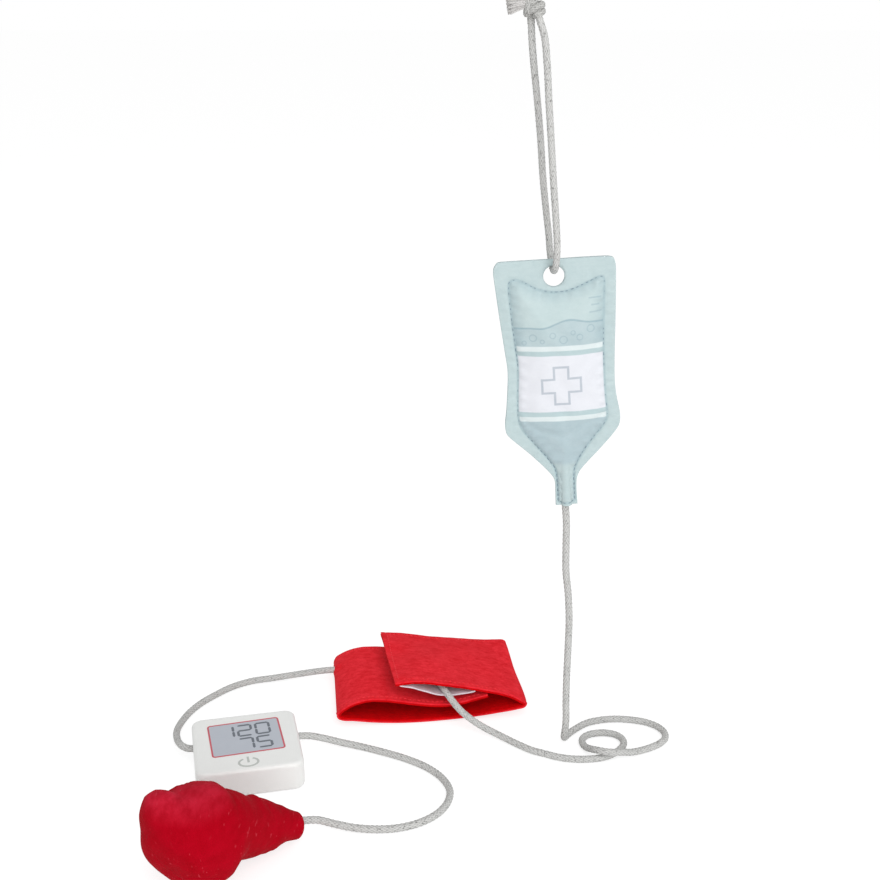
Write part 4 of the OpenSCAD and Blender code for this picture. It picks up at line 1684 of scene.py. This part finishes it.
    def build(self) -> None:
        """Makes the felts, the pads and the stitches."""
        ends = np.array([self.crease, self.crease - self.blend_run])
        low, high = self.face(ends, np.full(2, self.width / 2), -self.felt) * MM
        for name, top, tones, node in (("felt", 0.0, self.outer, "outer_felt"),
                                       ("inside", -self.felt - 0.05, self.lining, "lining")):
            slot = "red_felt" if name == "felt" else "red_lining"
            finish = tones.material(slot)
            band = self.layer(top - self.felt, top, self.crease, self.long, (False, True))
            flap = self.layer(top - self.felt, top, 0.0, self.crease, (True, False))
            piece = add_piece(f"cuff_{name}", band, finish, slot, f"cuff_{node}", Body.SET)
            piece = add_piece(f"flap_{name}", flap, finish, slot, f"flap_{node}")
            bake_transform(piece)
        finish = Yarn("#f0343f", "#cc1520", 0.6).material("red_thread")
        self.sew("flap_stitches", Body.FLAP, finish, self.crease - self.flap_seam_end,
                 self.hem)
        self.sew("cuff_stitches", Body.SET, finish, self.crease + self.tuck_seam_start,
                 self.long - self.hem)
        for name, shape, pile, node, body, wide, under in (
                ("hook_pad", self.hook_pad(), Pile("#efe4ea", "#d8cad3"),
                 "flap_hook_pad", Body.FLAP, self.pad_width, "flap_inside"),
                ("loop_pad", self.soft_pad(), Pile("#e9e6ea", "#cfcad2", 1.1, 0.45),
                 "cuff_loop_pad", Body.SET, self.soft_width, "cuff_felt")):
            pad = add_piece(name, shape, pile.material(name), name, node, body)


# ------------------------------------------------------------ monitor block


@dataclass
class Monitor:
    """A painted wooden block with a printed display and two cord holes."""

    at: Spot = (-97.5, 2.0, 0.0)
    yaw: float = 12.5
    wide: float = 70.0
    deep: float = 68.0
    tall: float = 20.0
    corner: float = 7.2
    edge: float = 2.6
    bore: float = 2.7
    bore_depth: float = 15.0
    bore_back: float = 14.0
    display: tuple[float, float, float, float] = (0.1, 4.6, 48.2, 39.0)
    display_rim: float = 1.15
    print_turn: float = 2.3
    print_thick: float = 0.12
    sign_thick: float = 0.1
    field_thick: float = 0.06
    paint: Paint = Paint("#eeefed", "#e6e7e5")

    def outline(self, at: Array) -> tuple[Array, Array]:
        """Points and outward directions of the rounded rectangle.

        Args:
            at: Distance along it, from the middle of its right side onwards,
                counter-clockwise.

        Returns:
            The points and the directions, two numbers each.
        """
        r = self.corner
        hw, hd = self.wide / 2 - r, self.deep / 2 - r
        quarter = math.pi * r / 2
        stops = np.cumsum([0, hd, quarter, 2 * hw, quarter, 2 * hd, quarter, 2 * hw,
                           quarter, hd])
        angle = np.interp(at, stops, np.radians([0, 0, 90, 90, 180, 180, 270, 270, 360, 360]))
        cx = np.interp(at, stops, [hw, hw, hw, -hw, -hw, -hw, -hw, hw, hw, hw])
        cy = np.interp(at, stops, [0, hd, hd, hd, hd, -hd, -hd, -hd, -hd, 0])
        out = np.stack([np.cos(angle), np.sin(angle)], axis=-1)
        return np.stack([cx, cy], axis=-1) + r * out, out

    def total(self) -> float:
        """Length of the outline."""
        r = self.corner
        return 2 * (self.wide + self.deep - 4 * r) + 2 * math.pi * r

    def band(self) -> tuple[Array, Array]:
        """The block's sides and rounded edges, with its two round holes.

        Returns:
            A grid of points, once round the block and from its underside to
            its top, and which of its cells the holes leave.
        """
        cell = self.bore / 4
        ring = np.arange(-5, 6) * cell
        half, middle = self.total() / 2, self.tall / 2
        bores = (self.bore_back, half - self.bore_back)
        free = [s for s in np.linspace(0, 2 * half, 161)[:-1]
                if all(abs(s - b) > 5.5 * cell for b in bores)]
        at = np.sort(np.concatenate([free, *(b + ring for b in bores)]))
        at = np.append(at, at[0] + 2 * half)
        angle = np.radians(np.linspace(90, 0, 7))
        inset, low = self.edge * (1 - np.cos(angle)), self.edge * (1 - np.sin(angle))
        side = np.concatenate([
            np.linspace(self.edge, middle - 5 * cell, 5)[1:-1], middle + ring,
            np.linspace(middle + 5 * cell, self.tall - self.edge, 5)[1:-1]])
        z = np.concatenate([low, side, self.tall - low[::-1]])
        inset = np.concatenate([inset, 0 * side, inset[::-1]])
        s, z = np.meshgrid(at, z)
        keep = np.ones((s.shape[0] - 1, s.shape[1] - 1), bool)
        for b in bores:
            ds, dz, left = punched(s - b, z - middle, self.bore, 5 * cell)
            s, z, keep = b + ds, middle + dz, keep & left
        spots, out = self.outline(np.mod(s, 2 * half))
        spots = spots - inset[:, None, None] * out
        return np.concatenate([spots, z[..., None]], axis=-1), keep

    def hole_side(self, p: Array, q: Array) -> Shape:
        """Part of the cord holes' walls and floors.

        Args:
            p: One end of each edge of the holes' mouths.
            q: The other end of each.

        Returns:
            A wall straight inwards from each edge, and its share of the floor.
        """
        inward = -np.sign(p[:, :1]) * [[self.bore_depth, 0, 0]]
        deep_p, deep_q = p + inward, q + inward
        middle = deep_p * [1, 0, 0] + [0, self.bore_back, self.tall / 2]
        points = np.stack([q, p, deep_p, deep_q, deep_q, deep_p, middle, middle])
        ids = np.arange(8 * len(p)).reshape(2, 4, -1)
        return Shape(points.reshape(-1, 3), ids.transpose(0, 2, 1).reshape(-1, 4))

    def body(self) -> Shape:
        """The block: its band, its underside and top, and its two holes.

        Returns:
            The block as a closed surface.
        """
        band, keep = self.band()
        flat = band.reshape(-1, 3)
        ids = np.arange(len(flat)).reshape(band.shape[:2])
        parts = [Shape(flat, cells(ids)[keep])]
        for rim, way in ((band[0, :-1], -1), (band[-1, :-1], 1)):
            lid = wound(np.stack([rim, rim * [0.96, 0.96, 1], rim * [0, 0, 1]]))
            parts.append(Shape(lid.points, lid.faces[:, ::way]))
        parts += [self.hole_side(flat[p], flat[q]) for p, q in rims(ids, keep, True)]
        return joined(parts)

    def plate(self, outer: Array, thick: float, inner: Array | None = None) -> Shape:
        """A thin flat plate on the block's top.

        Args:
            outer: Its outline.
            thick: Its thickness.
            inner: The opening that makes it a ring, if it has one.

        Returns:
            The plate as a closed surface.
        """
        inner = 0 * outer + outer.mean(axis=0) if inner is None else inner
        low, high = self.tall, self.tall + thick
        loops = [np.hstack([xy, np.full((len(xy), 1), z)]) for xy, z in (
            (outer, low), (outer, high), (inner, high), (inner, low), (outer, low))]
        return wound(np.stack(loops))

    def frame_line(self, grow: float, radius: float) -> Array:
        """The display's outline, grown by a distance and rounded.

        Args:
            grow: The distance.
            radius: Radius of its corners.

        Returns:
            The outline's points, two numbers each.
        """
        cx, cy, w, d = self.display
        hw, hd = w / 2 + grow - radius, d / 2 + grow - radius
        t = np.radians(np.linspace(0, 90, 9))
        out = []
        for i, (sx, sy) in enumerate(((1, 1), (-1, 1), (-1, -1), (1, -1))):
            a = t + i * math.pi / 2
            out.append(np.stack([cx + sx * hw + radius * np.cos(a),
                                 cy + sy * hd + radius * np.sin(a)], axis=-1))
        return np.vstack(out)

    def digits(self) -> Shape:
        """The numbers on the display, as bars with pointed ends.

        Returns:
            All the bars as one surface.
        """
        bars = {"a": (0, 1, 0), "g": (0, 0, 0), "d": (0, -1, 0),
                "f": (-1, 0.5, 1), "b": (1, 0.5, 1), "e": (-1, -0.5, 1), "c": (1, -0.5, 1)}
        shown = {"0": "abcdef", "1": "bc", "2": "abged", "5": "afgcd", "7": "abc"}
        half_w, half_h, stroke, gap = 4.4, 6.4, 0.85, 0.1
        made = []
        for text, x, y in (("1", -11.7, 12.9), ("2", 0.2, 12.9), ("0", 12.3, 12.9),
                           ("7", -0.2, -3.4), ("5", 11.7, -3.4)):
            for bar in shown[text]:
                across, up, upright = bars[bar]
                long = (half_h / 2 if upright else half_w) - gap
                along_it = np.array([-long, -long + stroke, long - stroke, long,
                                     long - stroke, -long + stroke])
                wide = np.array([0, 1, 1, 0, -1, -1]) * stroke
                xy = np.stack([wide, along_it] if upright else [along_it, wide], axis=-1)
                centre = np.array([x + across * half_w, y + up * half_h])
                made.append(self.plate(xy + centre, self.print_thick))
        return joined(made)

    def power(self) -> Shape:
        """The power sign: an open ring with a bar through its gap.

        Returns:
            Both as one surface.
        """
        cx, cy, stroke = -1.6, -25.2, 0.72
        radii = np.array([6.2, 4.6])
        a = np.radians(np.linspace(90 + 30, 450 - 30, 60))
        ring = np.stack([np.cos(a), np.sin(a)], axis=-1)
        bar = np.array([[-stroke, -0.4], [-stroke, 6.2], [stroke, 6.2], [stroke, -0.4]])
        skins = [np.stack([np.hstack([ring * (radii + r), np.full((len(a), 1), z)])
                           for r in (-stroke, stroke)])
                 for z in (self.tall + self.sign_thick, self.tall)]
        return joined([slab(*skins), self.plate(bar, self.sign_thick)]).placed(
            np.eye(3), (cx, cy, 0))

    def build(self) -> None:
        """Makes the block and what is printed on it."""
        add_piece("monitor_body", self.body().placed(turn(2, self.yaw), self.at),
                  self.paint.material("white_paint"), "painted_wood", "monitor_block",
                  Body.SET)
        inner = self.frame_line(-self.display_rim, 1.4)
        ring = self.plate(self.frame_line(0, 2.4), self.print_thick, inner)
        field_ = self.plate(self.frame_line(0.05 - self.display_rim, 1.4), self.field_thick)
        for name, shape, finish in (
                ("display_frame", ring, Ink("#cb5c67", "#ba4a56")),
                ("display_field", field_, Ink("#b9bec7", "#b0b6c0", 0.4)),
                ("display_digits", self.digits(), Ink("#575d66", "#676e77")),
                ("power_sign", self.power(), Ink("#b6bab6", "#bfc3bf"))):
            shape = shape.placed(turn(2, self.yaw + self.print_turn), self.at)
            add_piece(name, shape, finish.material(name), "painted_wood", body=Body.SET,
                      smooth=False)


# ---------------------------------------------------------------- pump bulb


@dataclass
class PumpBulb:
    """A stuffed cloth bulb: two panels gathered along their seam."""

    at: Pair = (-111.2, -112.5)
    yaw: float = 34.0
    tilt: float = 18.4
    roll: float = -38.0
    wide: float = 62.0
    long: float = 101.0
    neck: float = 17.4
    cloth: float = 1.2
    flat: float = 0.5
    floor_press: float = 0.02
    bore: float = 2.45
    mouth: Pair = (-3.2, 2.1)
    over_at: float = 190.0
    over: Points = ((-31, 3.0), (-27.4, 5.6), (-23.6, 6.4), (-20.6, 4.6), (-18.2, 1.2),
                    (-16.4, -1.4), (-12, -2.3), (-5, -2.1), (1, -1.7), (6, -1.1),
                    (10, -0.7), (12.4, -1.6), (14.2, -3.8), (17, -2.3), (25.4, -1.9),
                    (28.8, -2.1), (31, -3.0), (37, -0.1), (48.6, 1.7), (58.4, 2.3),
                    (66, 0.8), (71, -0.2))
    under_at: float = 352.0
    under: Points = ((-31, -2.0), (-26.7, -3.8), (-20, -5.2), (-13, -4.0), (0, -1.6),
                     (12, -0.4), (17, -0.9), (21.4, -5.3), (24.8, -8.8), (30, -6.8),
                     (36, -4.4), (42.4, -2.6), (50, -0.3), (60, -1.7), (71, -1.3))
    gathers: Points = ((-17.2, 1.4, 2.0), (-6, 0.8, 2.0), (5, 0.8, 1.6), (14.2, 1.6, 2.0),
                       (22, 0.9, 1.5), (31, 1.5, 2.4), (40, 0.8, 1.8), (52, 0.5, 1.6))
    velour: Velour = Velour("#b2031c", "#9c0011", "#dd5060", "#d62c45")

    def __post_init__(self) -> None:
        """Works out the reach before and behind the widest place, and seats it."""
        self.radius = self.wide / 2
        self.behind = self.radius * 0.97
        self.reach = self.long - self.behind
        self.matrix = turn(2, self.yaw) @ turn(1, 90 + self.tilt) @ turn(2, self.roll)
        s = np.linspace(-self.behind, self.reach, 80)[:, None]
        angle = np.radians(np.arange(0, 360, 4))[None, :]
        self.rise = -self.flat - float((self.local(s, angle) @ self.matrix.T)[..., 2].min())

    def profile(self, s: Array) -> Array:
        """Radius of the body: a ball behind, a soft taper in front.

        Args:
            s: Places along the axis, 0 where the body is widest.

        Returns:
            The radius at each place.
        """
        back = self.radius * np.sqrt(np.clip(1 - (s / self.behind) ** 2, 0, None))
        x = np.clip(s / self.reach, 0, 1)
        front = self.neck / 2 + (self.radius - self.neck / 2) * (
            (1 + np.cos(math.pi * x)) / 2) ** 0.88
        return np.where(s < 0, back, front)

    def standing_out(self, s: Array, angle: Array) -> Array:
        """How far the cloth stands out from the plain body.

        The tables over and under say it along the two sides of the seam, and
        each fades as the squared cosine of the angle away from it. The seam
        lies at angles 0 and pi. There the cloth is drawn in, in uneven
        gathers whose folds run on and fade round the body.

        Args:
            s: Places along the axis.
            angle: Angles round it.

        Returns:
            The distance at each place.
        """
        r = self.profile(s)
        out = 0 * s + 0 * angle
        for centre, table in ((self.over_at, self.over), (self.under_at, self.under)):
            place, size = np.array(table).T
            share = np.clip(np.cos(angle - math.radians(centre)), 0, 1) ** 2
            out = out + share * np.interp(s, place, size) * smoothstep(r, 1, 12)
        off = np.minimum(np.abs(np.sin(angle)), 1)
        near = np.arcsin(off) * np.maximum(r, 4)
        body = smoothstep(r, 6, 18) * (0.15 + 0.85 * smoothstep(s, -29, -17))
        upper = 0.2 + 0.8 * smoothstep(-np.cos(angle), -0.5, 0.3)
        for place, deep, width in self.gathers:
            bent = s - place - 0.22 * near - 1.2 * np.sin(near / 5 + place)
            out = out - upper * deep * bell(bent, width) * np.exp(-near / 15) * body
        ripple = 0.3 * np.sin(s / 1.25 + 2 * np.sin(s / 8)) * np.exp(-near / 4.0)
        swell = 0.5 * np.sin(s / 6.1 + 1) * np.sin(2 * angle + 0.6) + 0.35 * np.sin(
            s / 10 + 3 * angle)
        crumple = 0.35 * np.sin(s / 2.9 + 2.2 * np.sin(near / 4.5)) * np.sin(
            near / 3.6 + s / 7) * np.exp(-near / 20)
        seam = 0.8 * bell(near, 1.3) * smoothstep(r, 2, 8)
        seam = seam * upper * (0.15 + 0.85 * smoothstep(s, -16, -2))
        return out + (swell + crumple - ripple) * body - seam

    def local(self, s: Array, angle: Array, depth: float = 0.0) -> Array:
        """Points about the bulb's own axis.

        Args:
            s: Places along the axis.
            angle: Angles round it.
            depth: Distance below the cover's outer face.

        Returns:
            The points, before the bulb is laid down.
        """
        out = self.standing_out(s, angle) - depth
        share = np.where(s < 0, np.maximum(1 + out / self.behind, 0), 1)
        radius = np.maximum(self.profile(s) * share + np.where(s < 0, 0, out), 0)
        return np.stack([radius * np.cos(angle), radius * np.sin(angle),
                         s * share + 0 * angle], axis=-1)

    def skin(self, s: Array, angle: Array, depth: float = 0.0) -> Array:
        """Points on the cover, or that far below it.

        Args:
            s: Places along the axis.
            angle: Angles round it.
            depth: Distance below the outer face.

        Returns:
            The points, in their place on the floor, which flattens them.
        """
        world = self.local(s, angle, depth) @ self.matrix.T
        world = world + np.array([*self.at, self.rise])
        low = world[..., 2] < self.floor_press
        world[..., 2] = np.where(low, self.floor_press + 0.02 * world[..., 2], world[..., 2])
        return world

    def rows(self, depth: float) -> tuple[Array, Array]:
        """Places along the axis, and how far each is drawn in at the neck.

        Args:
            depth: Distance below the cover's outer face.

        Returns:
            The places, and their share of the way to the cord.
        """
        back = -self.behind * np.cos(np.linspace(0, math.pi / 2, 34))
        front = np.linspace(0, self.reach - 1.6, 58)[1:]
        close = np.radians(np.linspace(0, 90, 7))[1:]
        s = np.concatenate([back, front, self.reach - 1.6 + (1.6 - depth) * np.sin(close)])
        drawn = np.concatenate([np.zeros(len(back) + len(front)), 1 - np.cos(close)])
        return s, drawn

    def panel(self, name: str, start: float, finish: bpy.types.Material) -> None:
        """Makes one half of the cover, from one seam round to the other.

        Args:
            name: The piece's name.
            start: Angle of the seam that it starts at, in degrees.
            finish: Its material.
        """
        angle = np.radians(start) + np.linspace(0.0008, math.pi - 0.0008, 73)[None, :]
        skins = []
        for depth in (0.0, self.cloth):
            s, drawn = self.rows(depth)
            grid = self.skin(s[:, None], angle, depth)
            axis = self.skin(s[:, None] + 0 * angle, 0 * angle, 99.0)
            mouth = axis + self.matrix @ np.array([*self.mouth, 0.0])
            rim = mouth + (grid - axis) * (self.bore * 2 / self.neck)
            skins.append(grid + (rim - grid) * drawn[:, None, None])
        shape = slab(*skins)
        piece = add_piece(name, shape, finish, "bulb_cloth",
                          name.replace("cloth", "panel"), Body.SET)

    def wadding(self) -> None:
        """Makes the filling inside the cover."""
        s, _ = self.rows(self.cloth)
        s = s[s < self.reach - 5]
        angle = np.linspace(0, 2 * math.pi, 64, endpoint=False)[None, :]
        lump = self.cloth + 0.5
        rings = self.skin(s[1:, None] * 0.98, angle, lump)
        finish = WADDING.material("bulb_wadding")
        piece = add_piece("bulb_wadding", lathe(rings), finish, "wadding", "bulb_filling",
                          Body.SET)

    def build(self) -> None:
        """Makes both halves of the cover and the filling."""
        finish = self.velour.material("crimson_cloth")
        self.panel("bulb_front_cloth", 180.0, finish)
        self.panel("bulb_back_cloth", 0.0, finish)
        self.wadding()


# -------------------------------------------------------------------- stage


@dataclass
class Stage:
    """Camera, floor, world and lamps."""

    eye: Spot = (0.031, -0.7431, 0.4996)
    pitch: float = 19.743
    lens: float = 53.18
    sensor: float = 36.0
    clip: Pair = (0.01, 50.0)
    floor_half: float = 12000.0
    floor_low: float = -0.3
    floor_tone: float = 0.9
    glow: float = 1.35
    glow_share: float = 0.55
    world: float = 0.61
    aim: Spot = (0.0, 0.0, 0.12)
    lamps: tuple[tuple[str, Spot, float, float], ...] = (
        ("key", (0.6, -1.5, 2.0), 1.6, 19), ("fill", (0.45, -2.1, 0.6), 1.8, 22))

    def camera(self) -> None:
        """Makes the camera at the photograph's viewpoint."""
        data = bpy.data.cameras.new("camera")
        data.lens, data.sensor_width = self.lens, self.sensor
        data.clip_start, data.clip_end = self.clip
        camera = linked(bpy.data.objects.new("camera", data))
        camera.location = self.eye
        camera.rotation_euler = (math.radians(90 - self.pitch), 0, 0)
        bpy.context.scene.camera = camera

    def seen(self, shader: Shader) -> Value:
        """1 for rays from the camera or off a mirror or through glass.

        Args:
            shader: The material's or the world's nodes.

        Returns:
            1 for such a ray and 0 for any other.
        """
        rays = shader.node("ShaderNodeLightPath")
        total = (shader.value(rays, "Is Camera Ray") + shader.value(rays, "Is Glossy Ray")
                 + shader.value(rays, "Is Transmission Ray"))
        return total.at_most(1.0)

    def floor(self) -> None:
        """Makes the white floor, which keeps a soft shadow."""
        shader = Shader("floor_white")
        plain = shader.node("ShaderNodeBsdfDiffuse", None,
                            {"Color": (*[self.floor_tone] * 3, 1)})
        glow = shader.node("ShaderNodeEmission", None, {"Strength": self.glow})
        mixed = shader.node("ShaderNodeMixShader", None,
                            {0: self.seen(shader) * self.glow_share,
                             1: shader.value(plain), 2: shader.value(glow)})
        shader.node("ShaderNodeOutputMaterial", None, {"Surface": shader.value(mixed)})
        h, low = self.floor_half, self.floor_low
        corners = np.array([[-h, -h, low], [h, -h, low], [h, h, low], [-h, h, low]])
        mesh = bpy.data.meshes.new("floor")
        mesh.from_pydata((corners * MM).tolist(), [], [(0, 1, 2, 3)])
        mesh.materials.append(shader.material)
        linked(bpy.data.objects.new("floor", mesh))

    def sky(self) -> None:
        """Makes the world: pure white where it is seen, plainer as light."""
        shader = Shader("studio", world=True)
        near, far = (shader.value(shader.node("ShaderNodeBackground", None, {
            "Color": (1, 1, 1, 1), "Strength": strength})) for strength in (self.world, 1.0))
        mixed = shader.node("ShaderNodeMixShader", None,
                            {0: self.seen(shader), 1: near, 2: far})
        shader.node("ShaderNodeOutputWorld", None, {"Surface": shader.value(mixed)})
        bpy.context.scene.world = shader.material

    def lamp(self, name: str, at: Spot, size: float, watts: float) -> None:
        """Makes a square lamp that faces the middle of the set.

        Args:
            name: Its name.
            at: Its place.
            size: Length of its side.
            watts: Its power.
        """
        data = bpy.data.lights.new(name, "AREA")
        data.size, data.energy = size, watts
        lamp = linked(bpy.data.objects.new(name, data))
        lamp.location = at
        aim = Vector(self.aim) - lamp.location
        lamp.rotation_euler = aim.to_track_quat("-Z", "Y").to_euler()

    def build(self) -> None:
        """Makes everything but the camera."""
        bpy.context.scene.view_settings.view_transform = "Standard"
        self.floor()
        self.sky()
        for lamp in self.lamps:
            self.lamp(*lamp)


def main() -> None:
    """Builds the set in order: camera and cords first."""
    logging.basicConfig(level=logging.INFO, format="%(name)s %(message)s")
    stage = Stage()
    stage.camera()
    Cords().build(Knot())
    DripBag().build()
    Cuff().build()
    Monitor().build()
    PumpBulb().build()
    stage.build()


if __name__ == "__main__":
    main()
